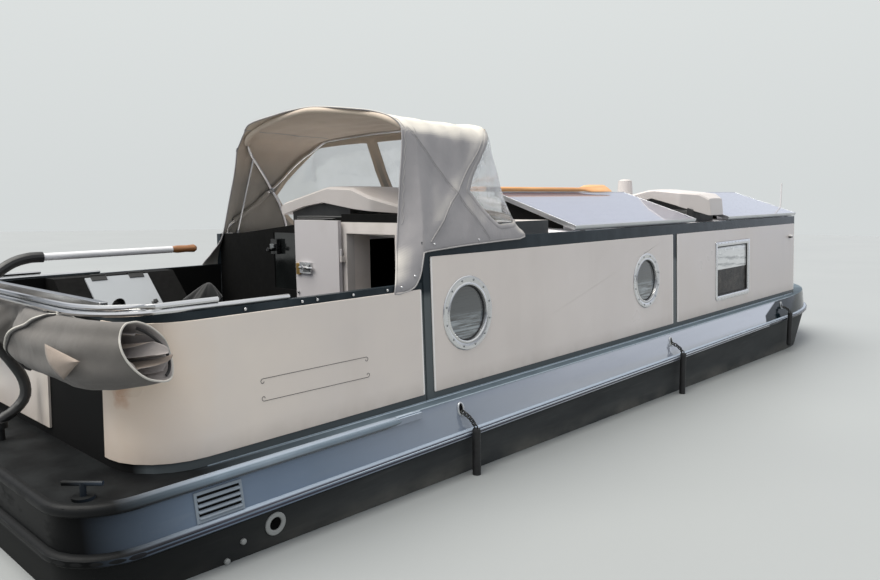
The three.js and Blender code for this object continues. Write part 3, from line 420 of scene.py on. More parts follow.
def bottom_colour(finish):
    """Dull black below the strake: marked, dirty near the waterline and darker at the stern."""
    water, slope = WATERLINE["height"], WATERLINE["slope"]
    tide = finish.maths("SUBTRACT", finish.axis("Z"), finish.times(finish.axis("X"), slope))
    dirty = finish.times(finish.ranged(tide, water + 0.12, water + 0.01, 0.0, 0.7),
                         finish.patches((3.2, 4, (0.5, 1, 1)), 0.4, 0.65))
    return finish.layers(
        (54, 56, 57),
        (finish.patches((3, 5, (0.4, 1, 2)), 0.3, 0.75), (70, 72, 72)),
        (finish.patches((9, 6, (0.25, 0.25, 4)), 0.58, 0.78, 0.0, 0.4), (88, 89, 88)),
        (dirty, (112, 110, 104)),
        (finish.along(1.6, 0.1), (24, 25, 25)),
    )


def deck_edge_highlights(finish):
    """Painted highlight lines along the side deck, at the cabin's foot and at the deck's edge."""
    out = finish.maths("ABSOLUTE", finish.axis("Y"), 0)
    foot = finish.ranged(out, CABIN_HALF + 0.018, CABIN_HALF + 0.012)
    edge = finish.ranged(out, DECK_HALF - 0.014, DECK_HALF - 0.008)
    beside_cabin = finish.along(CABIN_FRONT, CABIN_FRONT - 0.3, 0.0, 0.75)
    return finish.times(finish.maths("MAXIMUM", foot, edge), beside_cabin)


def deck_colour(finish):
    """Dusty deck paint, black aft and grey-blue beside the cabin; the grey-blue stands partly for painted sky
    reflection, with painted highlight lines.
    """
    dust = finish.patches((5, 6), 0.4, 0.75)
    aft_deck = finish.layers((22, 23, 24), (dust, (38, 40, 41)))
    # The side deck's grey-blue is partly painted sky reflection, and its pale lines are painted highlights.
    side_deck = finish.layers((88, 100, 109), (dust, (104, 117, 125)), (deck_edge_highlights(finish), (190, 203, 216)))
    return finish.layers(aft_deck, (finish.along(0.55, 1.5), side_deck))


def hull_paint():
    """Gloss paint with scuffs above the rubbing strake, dull paint below it, dusty paint on the deck."""
    finish = Finish("Hull paint", IOR=1.15, Coat_Roughness=0.05, Coat_IOR=2.8)
    height = finish.height()
    scuffs = finish.patches((6, 6, (0.5, 1, 3)), 0.55, 0.75)
    bow = bow_patch(finish, height)
    dark_stern = finish.along(0.52, 0.06)
    below = finish.ranged(height, STRAKE_Z - 0.005, STRAKE_Z - 0.02)
    deck = finish.facing_up(0.6, 0.85)
    colour = finish.layers(band_colour(finish, scuffs, bow, dark_stern), (below, bottom_colour(finish)),
                           (deck, deck_colour(finish)))
    shine = finish.maths("ADD", finish.scaled(scuffs, 0.10, 0.30), finish.scaled(dark_stern, 0.0, 0.3))
    rough = finish.mix(below, finish.mix(deck, shine, 0.6), 0.6)
    dulled = ((below, 0), (deck, 0), (dark_stern, 0), (bow, 0.02))
    plain = [finish.scaled(mask, 1.0, left) for mask, left in dulled]
    return finish.wire(colour, rough, Normal=finish.bump(finish.noise(1.6, 2, (0.6, 1, 1.6)), 0.2, 0.008),
                       Coat_Weight=finish.times(slant_gloss(finish, 0.08, 1.0), *plain))


def bar_paint():
    """The paint on the rubbing bars: rubbed here and there, a painted highlight along the top and painted
    shade on the underside.
    """
    finish = Finish("Rubbing bar paint", IOR=1.2, Coat_Roughness=0.12, Coat_IOR=1.9)
    rubbed = finish.patches((8, 6, (0.3, 1, 1)), 0.5, 0.75)
    dark_stern = finish.along(0.62, 0.16)
    height = finish.height()
    lower = finish.ranged(height, STRAKE_Z + 0.07, STRAKE_Z + 0.06)
    above_middle = finish.maths("SUBTRACT", height, finish.scaled(lower, UPPER_BAR_Z, STRAKE_Z))
    colour = finish.layers(
        (108, 123, 135),
        (rubbed, (136, 149, 160)),
        (lower, (60, 60, 70)),
        # Painted shade on the underside, then a painted highlight along the top.
        (finish.ranged(above_middle, -0.002, -0.012), (24, 27, 29)),
        (finish.ranged(above_middle, 0.018, 0.023), (158, 170, 184)),
        (dark_stern, (20, 21, 22)),
    )
    rough = finish.maths("ADD", finish.scaled(rubbed, 0.22, 0.4), finish.scaled(dark_stern, 0.0, 0.3))
    coat = finish.times(slant_gloss(finish, 0.3, 1.0), finish.scaled(dark_stern, 1.0, 0.03),
                        finish.scaled(lower, 1.0, 0.12))
    return finish.wire(colour, rough, Coat_Weight=coat)


def looking_inboard(finish):
    """A mask of the faces that look towards the boat's middle."""
    away = finish.vectors("SUBTRACT", finish.where, at(3.0, 0, 0))
    flat = finish.vectors("MULTIPLY", away, (0.25, 1, 0))
    return finish.ranged(finish.vectors("DOT_PRODUCT", flat, finish.normal(), "Value"), -0.01, -0.05)


def side_paint(name, top, black_stern=False):
    """Gloss paint on the outer faces of the bulwark or cabin, matt black on the faces that look inboard."""
    finish = Finish(name, IOR=1.25)
    height = finish.height()
    stern = finish.along(0.40, 0.36)
    inboard = looking_inboard(finish)
    gloss = finish.layers(top, (finish.patches((7, 6, (1, 1, 0.5)), 0.45, 0.75), [v + 14 for v in top]),
                          (finish.ranged(height, 0.64, 0.60), (88, 94, 96)))
    rough = finish.scaled(inboard, 0.26, 0.8)
    if black_stern:
        gloss = finish.layers(gloss, (finish.times(stern, finish.ranged(height, 0.655, 0.651)), (12, 12, 12)))
        rough = finish.maths("ADD", rough, finish.scaled(stern, 0.0, 0.4))
    return finish.wire(finish.layers(gloss, (inboard, (14, 14, 14))), rough,
                       Normal=finish.bump(finish.noise(3, 2), 0.2, 0.006))


# A rust stain on the starboard stern corner of the cladding, in boat coordinates
RUST = {"centre": (0.350, -0.930, 0.400), "stain": 0.075, "tint": 0.42}


def rust_layers(finish):
    """A wide warm tint and the stain in it, both with soft edges that run down the sheet."""
    away = finish.vectors("SUBTRACT", finish.where, at(*RUST["centre"]))
    drawn = finish.vectors("MULTIPLY", away, (1, 1, 0.7))
    uneven = finish.maths("ADD", finish.vectors("LENGTH", drawn, output="Value"),
                          finish.patches((9, 4), 0.3, 0.7, -0.03, 0.03))
    return [(finish.ranged(uneven, RUST["tint"], 0.03, 0.0, 0.55), (214, 186, 158)),
            (finish.ranged(uneven, RUST["stain"], 0.01, 0.0, 0.85), (176, 120, 78))]


def cream_paint():
    """Cream gloss paint on steel sheets: soft clouds, yellower aft, greyer forward, with streaks, dirt low
    down and rust at one corner."""
    finish = Finish("Cream paint", IOR=1.5)
    clouds = finish.patches((0.9, 4), 0.3, 0.7)
    low = finish.ranged(finish.height(), 0.14, 0.045, 0.0, 0.35)
    colour = finish.layers(
        (217, 210, 207),
        (finish.along(4.2, 0.4), (224, 213, 201)),
        (finish.along(4.6, 8.0), (198, 192, 191)),
        (clouds, (207, 199, 194)),
        (finish.patches((5, 5, (1, 1, 0.12)), 0.55, 0.85, 0.0, 0.10), (168, 156, 142)),
        (finish.times(low, finish.noise(12, 4)), (128, 112, 94)),
        *rust_layers(finish),
    )
    return finish.wire(colour, finish.scaled(clouds, 0.26, 0.36),
                       Normal=finish.bump(finish.noise(1.7, 2), 0.2, 0.008))


def plain_paint(name, colour, dark, rough=0.4, scale=5.0, wear=0.3, ior=1.5):
    """Paint whose colour wanders between two tones, with a soft orange peel."""
    finish = Finish(name, IOR=ior)
    mixed = finish.layers(colour, (finish.patches((scale, 6), 0.45, 0.8, 0.0, wear), dark))
    return finish.wire(mixed, finish.patches((scale * 3,), 0.3, 0.7, rough - 0.06, rough + 0.08),
                       Normal=finish.bump(finish.noise(60, 2), 0.08, 0.002))


def bright_metal(name, colour, rough, dark):
    """Polished or dulled metal with faint smears."""
    finish = Finish(name, Metallic=1.0)
    smears = finish.patches((7,), 0.4, 0.8)
    return finish.wire(finish.layers(colour, (finish.scaled(smears, 0.0, 0.15), dark)),
                       finish.scaled(smears, rough, rough + 0.06),
                       Normal=finish.bump(finish.noise(90, 2), 0.05, 0.001))


def dark_glass():
    """A dark pane that mirrors its surroundings, a little wavy in its lower half. Its colour carries painted
    shade towards its top and painted reflections of ripples in its lower half.
    """
    finish = Finish("Dark glass", IOR=1.52, Coat_Weight=1.0, Coat_Roughness=0.02, Coat_IOR=2.5)
    colour = (50, 55, 58)
    height = finish.height()
    low = finish.ranged(height, PORTHOLE_Z + 0.01, PORTHOLE_Z - 0.05)
    # Painted reflection of ripples in the lower half, and painted shade towards the top.
    lines = finish.patches((9, 4, (0.5, 0.5, 7)), 0.38, 0.62)
    painted_ripple_reflection = finish.layers(shaded(colour, 0.2), (lines, shaded(colour, 2.3)))
    shade = finish.ranged(height, PORTHOLE_Z + 0.19, PORTHOLE_Z + 0.06)
    mixed = finish.layers(shaded(colour, 0.5), (shade, colour), (low, painted_ripple_reflection))
    return finish.wire(mixed, finish.patches((20,), 0.4, 0.7, 0.03, 0.08),
                       Normal=finish.bump(finish.noise(9, 3, (0.5, 0.5, 7)), 0.3, 0.005),
                       Coat_Weight=finish.ranged(finish.times(low, lines), 1, 0, 1.0, 0.45))


def reflection_blinds():
    """A pane with a painted sky reflection, drawn as fine pale slats close behind it."""
    finish = Finish("Pane with blinds", IOR=1.5, Coat_Weight=1.0, Coat_Roughness=0.03)
    slats = finish.patches((6, 3, (0.4, 0.4, 5)), 0.35, 0.5)
    return finish.wire(finish.layers((150, 153, 153), (slats, (222, 223, 222))),
                       finish.patches((9,), 0.3, 0.7, 0.2, 0.3))


def clear_vinyl():
    """A clear window of soft plastic, a little cloudy and wavy."""
    finish = Finish("Clear vinyl", Transmission_Weight=0.85, IOR=1.3, Alpha=0.30)
    haze = finish.patches((4, 4), 0.35, 0.75)
    colour = finish.layers((214, 216, 214), (haze, (190, 190, 184)))
    return finish.wire(colour, finish.scaled(haze, 0.05, 0.25),
                       Normal=finish.bump(finish.noise(5, 2), 0.4, 0.02))


def canvas(name, colour, dark, weave=900.0, top=None, painted_top_light=None):
    """Woven acrylic canvas: a fine weave, soft creases and faded patches. top is for the lining of the hood,
    as (low, high, colour below): painted light up high, where its top lets light through, and painted shade
    below. The colour given for the faces that look up is painted light from above."""
    finish = Finish(name, Sheen_Weight=0.12, Sheen_Roughness=0.5)
    threads = finish.times(finish.wave(weave, (1, 0, 0.35)), finish.wave(weave, (0, 1, 1), "Y"))
    faded = finish.patches((2.2, 5), 0.3, 0.75)
    mixed = finish.layers(dark, (faded, colour))
    if painted_top_light:
        # Painted light: the faces that look up are made paler.
        mixed = finish.layers(mixed, (finish.facing_up(0.3, 0.9), painted_top_light))
    if top:
        # Painted light high in the lining, painted shade below.
        low, high, shade = top
        mixed = finish.layers(shade, (finish.ranged(finish.height(), low, high), mixed))
    stains = finish.patches((5, 5, (1, 1, 0.4)), 0.58, 0.85, 0.0, 0.25)
    mixed = finish.layers(mixed, (stains, shaded(dark, 0.72)),
                          (finish.scaled(threads, 0.12, 0.0), shaded(dark, 0.6)))
    folds = finish.bump(finish.noise(5, 3, (1, 1, 0.6)), 0.5, 0.03)
    return finish.wire(mixed, finish.scaled(faded, 0.86, 0.74),
                       Normal=finish.bump(threads, 0.3, 0.0006, folds))


def solar_cells():
    """Cells under glass: a fine grid of pale lines on blue-black, below a strong clear mirror."""
    finish = Finish("Solar cells", IOR=1.5, Coat_Weight=1.0, Coat_Roughness=0.05, Coat_IOR=2.3)
    pitch = 1 / 0.32
    across = finish.ranged(finish.wave(1.0, (pitch, 0, 0), profile="TRI"), 0.97, 1.0)
    along = finish.ranged(finish.wave(1.0, (0, pitch, 0), "Y", "TRI"), 0.97, 1.0)
    colour = finish.layers((98, 101, 124), (finish.noise(6, 2), (112, 116, 140)),
                           (finish.maths("MAXIMUM", across, along), (168, 170, 176)))
    return finish.wire(colour, finish.patches((30,), 0.3, 0.8, 0.12, 0.25))


def wood(name, pale, dark, rough):
    """Varnished wood with its grain along the boat."""
    finish = Finish(name, Coat_Weight=0.3, Coat_Roughness=0.15)
    grain = finish.noise(42, 6, (0.05, 1, 1))
    fibres = finish.noise(160, 3, (0.03, 1, 1))
    colour = finish.layers(pale, (finish.ranged(grain, 0.35, 0.7), dark),
                           (finish.ranged(fibres, 0.5, 0.8, 0.0, 0.3), shaded(dark, 0.6)))
    return finish.wire(colour, finish.ranged(grain, 0.3, 0.7, rough, rough + 0.15),
                       Normal=finish.bump(fibres, 0.2, 0.001))


def topped_paint(name, sides, top):
    """Paint that is paler on the faces that look up."""
    finish = Finish(name)
    colour = finish.layers(sides, (finish.facing_up(0.5, 0.8), top),
                           (finish.patches((6, 5), 0.5, 0.8, 0.0, 0.3), (110, 106, 100)))
    return finish.wire(colour, finish.patches((20,), 0.3, 0.7, 0.4, 0.5))


def rubber(name, colour, dark, rough):
    """Rubber or leather with dust in its pores."""
    finish = Finish(name)
    dust = finish.patches((18, 6), 0.45, 0.8)
    return finish.wire(finish.layers(dark, (dust, colour)), finish.scaled(dust, rough - 0.1, rough + 0.15),
                       Normal=finish.bump(finish.noise(120, 3), 0.15, 0.001))


HULL = hull_paint()
BAR_PAINT = bar_paint()
# The weld lines' pale paint is a painted highlight.
WELD_HIGHLIGHT_PAINT = plain_paint("Weld line paint", (132, 146, 156), (108, 120, 130), 0.3, 9)
VENT_PAINT = plain_paint("Vent paint", (128, 138, 148), (100, 108, 116), 0.3, 7)
GREY_PAINT = plain_paint("Fitting paint", (150, 152, 150), (110, 112, 110), 0.4, 9)
BULWARK_PAINT = side_paint("Bulwark paint", (36, 44, 49), black_stern=True)
CABIN_PAINT = side_paint("Cabin paint", (38, 46, 51))
CREAM = cream_paint()
BLACK = plain_paint("Black paint", (30, 31, 32), (58, 58, 56), 0.5, 6)
MATT_BLACK = plain_paint("Matt black", (12, 12, 12), (24, 23, 22), 0.8, 9, ior=1.2)
DOOR_PAINT = plain_paint("Door paint", (190, 186, 187), (166, 160, 158), 0.4, 3, 0.4)
FLAP_PAINT = plain_paint("Flap paint", (160, 164, 168), (140, 142, 144), 0.45, 3, 0.3)
REVEAL = plain_paint("Reveal paint", (236, 226, 218), (206, 192, 180), 0.4, 6, 0.4)
BAR_WHITE = plain_paint("Tiller bar paint", (224, 224, 226), (196, 194, 192), 0.25, 9, 0.3)
LINE_PAINT = plain_paint("Border line", (74, 72, 70), (96, 92, 88), 0.5, 9)
# Pale paint on the tubes along the cladding sheets' upright edges.
SHEET_EDGE = plain_paint("Whitish sheet edge", (236, 233, 230), (214, 208, 202), 0.35, 9)
WHITE = plain_paint("White paint", (214, 211, 210), (176, 170, 162), 0.35, 3, 0.4)
ROOF = plain_paint("Roof paint", (226, 224, 226), (196, 192, 190), 0.45, 4, 0.4)
GREY = plain_paint("Grey paint", (212, 205, 200), (168, 160, 152), 0.4, 6, 0.4)
STEEL = bright_metal("Stainless steel", (214, 214, 214), 0.2, (168, 168, 168))
DULL_STEEL = bright_metal("Dull steel", (150, 152, 153), 0.35, (90, 90, 88))
BRASS = bright_metal("Brass", (196, 160, 96), 0.28, (126, 96, 50))
BRONZE = bright_metal("Bronze", (150, 116, 66), 0.4, (86, 70, 44))
GLASS = dark_glass()
REFLECTION_BLINDS = reflection_blinds()
LOWER_GLASS = plain_paint("Lower pane", (38, 36, 34), (96, 90, 84), 0.3, 14, 0.6, ior=1.25)
DOOR_GLASS = plain_paint("Door glass", (20, 22, 22), (44, 48, 48), 0.12, 3)
VINYL = clear_vinyl()
CANVAS = canvas("Grey canvas", (154, 151, 153), (142, 140, 142), painted_top_light=(222, 216, 204))
CANVAS_INSIDE = canvas("Canvas lining", (214, 198, 180), (196, 181, 165), top=(1.30, 1.62, (150, 146, 138)))
COVER_CANVAS = canvas("Cover canvas", (104, 100, 96), (88, 85, 82))
COVER_CORNER_CANVAS = canvas("Cover corner", (150, 136, 124), (132, 120, 110))
COVER_INSIDE = canvas("Cover lining", (176, 168, 164), (150, 143, 140))
HEM = canvas("Window hem", (206, 192, 174), (186, 172, 156), 1400)
BINDING = canvas("Dark binding", (92, 90, 88), (74, 72, 70), 1400)
PIPING = canvas("Pale piping", (206, 204, 198), (180, 176, 168), 1400)
HOOD_PIPING = canvas("Hood piping", (182, 179, 178), (160, 157, 156), 1400)
DARK_PIPING = canvas("Dark piping", (44, 42, 42), (30, 29, 29), 1400)
BLACK_CLOTH = canvas("Black cloth", (17, 17, 18), (10, 10, 11), 1200)
GLOSS_BLACK = plain_paint("Gloss black", (20, 20, 21), (34, 34, 34), 0.25, 9)
CELLS = solar_cells()
ALUMINIUM = bright_metal("Panel frame", (206, 208, 210), 0.3, (160, 162, 164))
PLASTIC = plain_paint("White plastic", (194, 188, 185), (166, 159, 152), 0.4, 3, 0.35)
GREY_PLASTIC = plain_paint("Grey plastic", (120, 120, 118), (90, 90, 88), 0.5, 5)
GARAGE_PAINT = topped_paint("Garage paint", (34, 38, 40), (206, 200, 194))
WOOD = wood("Oar wood", (236, 178, 112), (196, 128, 66), 0.35)
GRIP_WOOD = wood("Tiller grip", (176, 120, 70), (110, 66, 34), 0.3)
RUBBER = rubber("Fender rubber", (34, 35, 37), (20, 20, 21), 0.6)
DARK_LEATHER = rubber("Leather sleeve", (86, 62, 44), (58, 40, 28), 0.7)
CHAIN = bright_metal("Dark chain", (70, 70, 68), 0.45, (30, 30, 30))
EYE_STEEL = bright_metal("Ring steel", (206, 208, 210), 0.3, (150, 152, 154))


def roof_z(y):
    """Height of the cambered roof's skin."""
    half = CABIN_HALF - 0.0516 - LEAN * ROOF_EDGE_Z
    return ROOF_SKIN_Z + ROOF_CAMBER * (1 - (y / half) ** 2)


def side_y(side, z, proud=0.0):
    """The cabin side's face, leaning in with height."""
    return SIDES[side] * (CABIN_HALF - LEAN * z + proud)


# Finishes of the nodes that keep their shape
DRESSED = {
    "hull": HULL, "bulwark": BULWARK_PAINT, "transom_rail": STEEL, "cabin_front": CABIN_PAINT,
    "front_door": CABIN_PAINT, "aft_bulkhead": MATT_BLACK, "bulkhead_pane": DOOR_GLASS,
    "door_frame": GREY, "aft_door": DOOR_PAINT, "roof": ROOF, "roof_beside_hatch": ROOF,
    "roof_edge": ROOF, "hatch": GREY, "hatch_garage": GARAGE_PAINT,
    "cabin_side_starboard": CABIN_PAINT, "cabin_side_port": CABIN_PAINT, "antenna": PLASTIC,
    "staff": WHITE, "cover_hoop_long": STEEL, "cover_hoop_short": STEEL, "rudder": BLACK, "swan_neck": BLACK,
    "tiller_bar": BAR_WHITE, "tiller_grip": GRIP_WOOD, "propeller": BRONZE, "engine": GREY,
    "cockpit_floor": MATT_BLACK, "port_console": MATT_BLACK, "console_flap": FLAP_PAINT,
}
BEVELS = {
    "aft_door": 0.003, "door_frame": 0.002, "hatch": 0.003, "transom_rail": 0.003,
    "console_flap": 0.002, "front_door": 0.003,
}


def dress_nodes():
    for node, material in DRESSED.items():
        dress(node, material, BEVELS.get(node, 0.0))
    for side in SIDES:
        for sheet in SHEETS:
            dress(f"{sheet}_{side}", CREAM, 0.0025)


# Rubbing bars: half round steel along the deck's edge at the stern and along the strake
UPPER_BAR = {"z": UPPER_BAR_Z, "tall": 0.027, "out": 0.028, "half": 1.231, "stern": -0.004, "radius": 0.264,
             "end": 1.860, "taper": 0.22}
LOWER_BAR = {"z": STRAKE_Z, "tall": 0.027, "out": 0.0325, "half": 1.2655, "stern": -0.0085, "radius": 0.265,
             "bow": 7.900, "tip": 9.8525, "power": 2.2}


def straight_side(bar, start, steps):
    """The outline along the starboard side from start to the stern's corner, as (point, outward way)."""
    end = bar["stern"] + bar["radius"]
    places = [start - (start - end) * i / steps for i in range(steps)]
    return [(Vector((x, -bar["half"])), Vector((0, -1))) for x in places]


def stern_corner(bar, steps=16):
    """The outline from the starboard quarter aft and round to the middle."""
    centre = Vector((bar["stern"] + bar["radius"], -bar["half"] + bar["radius"]))
    angles = [pi / 2 * i / steps for i in range(steps + 1)]
    ways = [Vector((-sin(a), -cos(a))) for a in angles]
    return [(centre + way * bar["radius"], way) for way in ways]


def bow_curve(bar, steps=48):
    """The outline from the bow's tip aft along the starboard side, a superellipse."""
    power, half_wide, reach = bar["power"], bar["half"], bar["tip"] - bar["bow"]
    line = []
    for i in range(steps):
        t = min(sin(pi / 2 * (1 - i / steps)), 0.9998)
        half = half_wide * (1 - t ** power) ** (1 / power)
        way = Vector((t ** (power - 1) / reach, -(half / half_wide) ** (power - 1) / half_wide))
        line.append((Vector((bar["bow"] + reach * t, -half)), way.normalized()))
    return line


def bar_sweep(form, half_line, bar, sizes=None):
    """A half round section along the outline and back on the port side. sizes gives the bar's share of its
    full height at each point."""
    line = half_line + [(Vector((p.x, -p.y)), Vector((w.x, -w.y))) for p, w in half_line[::-1]]
    rings = []
    for place, way in line:
        size = sizes(place.x) if sizes else 1.0
        ring = []
        for k in range(11):
            a = pi * k / 10 - pi / 2
            reach = place + way * (bar["out"] * size * cos(a) - 0.002)
            ring.append(at(reach.x, reach.y, bar["z"] + bar["tall"] * size * sin(a)))
        back = place - way * 0.012
        ring += [at(back.x, back.y, bar["z"] + bar["tall"] * size * way_up) for way_up in (1, -1)]
        rings.append(ring)
    form.rings(rings)


def make_rubbing_bars():
    """Both bars, and the weld lines at the deck's edge and at the cabin's foot, painted pale as highlights.
    """
    form = Form()
    bar = UPPER_BAR
    bar_sweep(form, straight_side(bar, bar["end"], 24) + stern_corner(bar), bar,
              lambda x: min(1.0, 0.30 + 0.70 * (bar["end"] - x) / bar["taper"]))
    bar_sweep(form, bow_curve(LOWER_BAR) + straight_side(LOWER_BAR, LOWER_BAR["bow"], 40)
              + stern_corner(LOWER_BAR), LOWER_BAR)
    for sign in SIDES.values():
        for out, z, places in ((DECK_HALF - 0.001, -0.0015, (UPPER_BAR["end"] - 0.05, 3.5, 5.5, 7.6)),
                               (CABIN_HALF + 0.001, 0.002, (0.62, 3.0, 8.40))):
            form.tube([at(x, sign * out, z) for x in places], 0.0035, 8, 1)
    piece("rubbing_bars", form, [BAR_PAINT, WELD_HIGHLIGHT_PAINT], angle=50)


# Hull plate outboard of the deck's edge, leaning out down to the strake
PLATE_LEAN = 0.035 / 0.189


def on_plate(side, x, z, proud=0.0):
    """A place on the leaning hull plate between the deck's edge and the strake."""
    return at(x, SIDES[side] * (DECK_HALF - PLATE_LEAN * min(z, 0.0) + proud), z)


def on_lower_plate(side, x, z, proud=0.0):
    """A place on the hull plate below the strake."""
    half = 1.265 - (1.265 - 1.240) * (STRAKE_Z - 0.026 - z) / 0.399
    return at(x, SIDES[side] * (half + proud), z)


# Louvre vent: its frame's outside, the frame's width and the slats' number. Outlets are (x, z, radius),
# plugs (x, z), and the ledge runs between two (x, z) places.
VENT = {"x": (0.485, 0.715), "z": (-0.184, -0.056), "rim": 0.013, "slats": 4}
OUTLETS = [(0.871, -0.311, 0.055), (0.867, -0.556, 0.050)]
PLUGS = [(0.700, -0.336), (0.618, -0.401)]
LEDGE = [(0.627, -0.439), (1.028, -0.445)]


def add_vent(form, side):
    """A louvre vent with its frame, a dark back and slanting slats."""
    (x0, x1), (z0, z1), rim = VENT["x"], VENT["z"], VENT["rim"]

    def across(section, x, slot=0):
        """A strip along the boat. Its section is of (z, proud) pairs."""
        form.rings([[on_plate(side, place, z, proud) for z, proud in section] for place in x], slot)

    def frame_section(low, high, back=0.001, front=0.007):
        return [(low, back), (high, back), (high, front), (low, front)]

    for low in (z0, z1 - rim):
        across(frame_section(low, low + rim), (x0, x1))
    for low in (x0, x1 - rim):
        form.rings([[on_plate(side, x, z, proud) for x, proud in frame_section(low, low + rim)]
                    for z in (z0 + rim, z1 - rim)])
    back = frame_section(x0 + rim, x1 - rim, 0.0008, 0.002)
    form.rings([[on_plate(side, x, z, proud) for x, proud in back] for z in (z0 + rim, z1 - rim)], 1)
    pitch = (z1 - z0 - 2 * rim) / VENT["slats"]
    for k in range(VENT["slats"]):
        low = z0 + rim + pitch * k
        across([(low + 0.001, 0.012), (low + pitch * 0.44, 0.003), (low + pitch * 0.52, 0.003),
                (low + 0.005, 0.0135)], (x0 + rim, x1 - rim))


def make_hull_fittings(side):
    """Louvre vent, round outlets and the small fittings on the stern's quarter."""
    form = Form()
    out = Vector((0, SIDES[side], 0))
    add_vent(form, side)
    for x, z, radius in OUTLETS:
        centre = on_lower_plate(side, x, z)
        way = out + Vector((0, 0, -0.06))
        profile = [(0.56, 0.0005), (1.0, 0.0005), (1.0, 0.006), (0.92, 0.009), (0.64, 0.009), (0.58, 0.006),
                   (0.56, 0.0005)]
        form.lathe([(radius * share, along) for share, along in profile], centre, way, 40, 2, FORWARD, False)
        form.lathe([(radius * 0.57, 0.0008), (0.001, 0.0008)], centre, way, 32, 1)
    for x, z in PLUGS:
        form.lathe([(0.014, 0.0), (0.014, 0.010), (0.010, 0.014), (0.001, 0.016)], on_lower_plate(side, x, z),
                   out, 16, 2)
    section = [(-0.004, 0.0), (0.004, 0.0), (0.003, 0.010), (-0.003, 0.010)]
    form.rings([[on_lower_plate(side, x, z + rise, proud) for rise, proud in section] for x, z in LEDGE], 2)
    piece(f"hull_fittings_{side}", form, [VENT_PAINT, MATT_BLACK, GREY_PAINT],
          angle=40, bevel=0.001)


# Side trim: two plain border lines with curled ends, studs along the dark band, pale sheet edges and a lamp.
# A border line is given by its aft and its forward end as (x, z), and the way its ends curl.
BORDER = [((0.923, 0.339), (1.567, 0.337), -1), ((0.924, 0.233), (1.574, 0.227), 1)]
BAND_STUDS = {"z": 0.675, "x": (0.858, 1.178, 1.270, 1.504, 1.747)}
STUD = [(0.0075, 0.0), (0.0075, 0.003), (0.005, 0.006), (0.001, 0.007)]
CURL = {"wide": 0.013, "narrow": 0.006}
STERN_END = 0.7
LAMP_X = 8.250


def on_sheet(side, x, z, proud=0.0):
    return at(x, side_y(side, z, CLAD + proud), z)


def curled_end(x, z, end, inward):
    """A spiral from a border line's end, three quarters of a turn."""
    curl = []
    for k in range(15):
        a = 1.5 * pi * k / 14
        radius = CURL["wide"] - (CURL["wide"] - CURL["narrow"]) * k / 14
        curl.append((x + end * radius * sin(a), z + inward * (CURL["wide"] - radius * cos(a))))
    return curl


def make_side_trim(side):
    form = Form()
    sign = SIDES[side]
    for aft, front, inward in BORDER:
        path = curled_end(*aft, -1, inward)[::-1] + curled_end(*front, 1, inward)
        form.tube([on_sheet(side, x, z, 0.0006) for x, z in path], 0.0016, 6, 0)
    for x in BAND_STUDS["x"]:
        z = BAND_STUDS["z"]
        form.lathe(STUD, at(x, side_y(side, z, SEAT), z), (0, sign, 0), 12, 1)
    for sheet in SHEETS:
        (low_x, _, low_z), (high_x, _, high_z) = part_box(f"{sheet}_{side}")
        for x in (low_x - ORIGIN_X + 0.003, high_x - ORIGIN_X - 0.003):
            if x > STERN_END:
                zs = (low_z - DECK + 0.004, high_z - DECK - 0.004)
                form.tube([on_sheet(side, x, z, -0.003) for z in zs], 0.0060, 10, 2)
    lamp = side_y(side, 0.694, CLAD + SEAT)
    for half, out, low, high, slot in ((0.025, 0.030, 0.672, 0.692, 3), (0.030, 0.034, 0.692, 0.708, 2)):
        form.box((LAMP_X - half, LAMP_X + half), (lamp, lamp + sign * out), (low, high), slot)
    piece(f"side_trim_{side}", form, [LINE_PAINT, STEEL, SHEET_EDGE, GLOSS_BLACK],
          bevel=0.0006, angle=45)


# Portholes: a bright flange with screws, a rolled inner rim and a dark pane
PORTHOLES_X = (2.405, 4.700)
PORTHOLE_OUT = 0.229


def make_porthole(side, number, x):
    form = Form()
    out = Vector((0, SIDES[side], LEAN)).normalized()
    centre = at(x, side_y(side, PORTHOLE_Z), PORTHOLE_Z)
    flange = [
        (0.184, -0.050), (0.170, -0.050), (0.169, 0.004), (0.171, 0.013), (0.177, 0.017), (0.184, 0.016),
        (0.189, 0.012), (0.196, 0.0135), (0.216, 0.015), (0.224, 0.0145), (PORTHOLE_OUT, 0.010),
        (PORTHOLE_OUT, 0.0003), (0.184, 0.0003), (0.184, -0.050),
    ]
    form.lathe(flange, centre, out, 64, 0, FORWARD, False)
    up = out.cross(FORWARD)
    for k in range(12):
        a = 2 * pi * (k + 0.5) / 12
        spot = centre + (FORWARD * cos(a) + up * sin(a)) * 0.206
        form.lathe([(0.0075, 0.012), (0.0075, 0.0155), (0.005, 0.018), (0.001, 0.0185)], spot, out, 10, 2)
    form.lathe([(0.1695, -0.016), (0.1695, -0.009)], centre, out, 48, 1)
    gasket = [(0.170, -0.0085), (0.170, -0.004), (0.163, -0.005), (0.161, -0.0084), (0.170, -0.0085)]
    form.lathe(gasket, centre, out, 64, 3, FORWARD, False)
    piece(f"porthole_ring_{side}_{number}", form, [STEEL, GLASS, DULL_STEEL, RUBBER],
          replaces=[f"porthole_{side}_{number}"])


# Side windows: a bright frame with rounded lower corners, a rubber gasket, a painted sky reflection drawn as
# pale slats above, and dark glass below
WINDOW = {"x0": 6.110, "x1": 6.990, "z0": 0.143, "z1": 0.722, "low": 0.040, "high": 0.012}


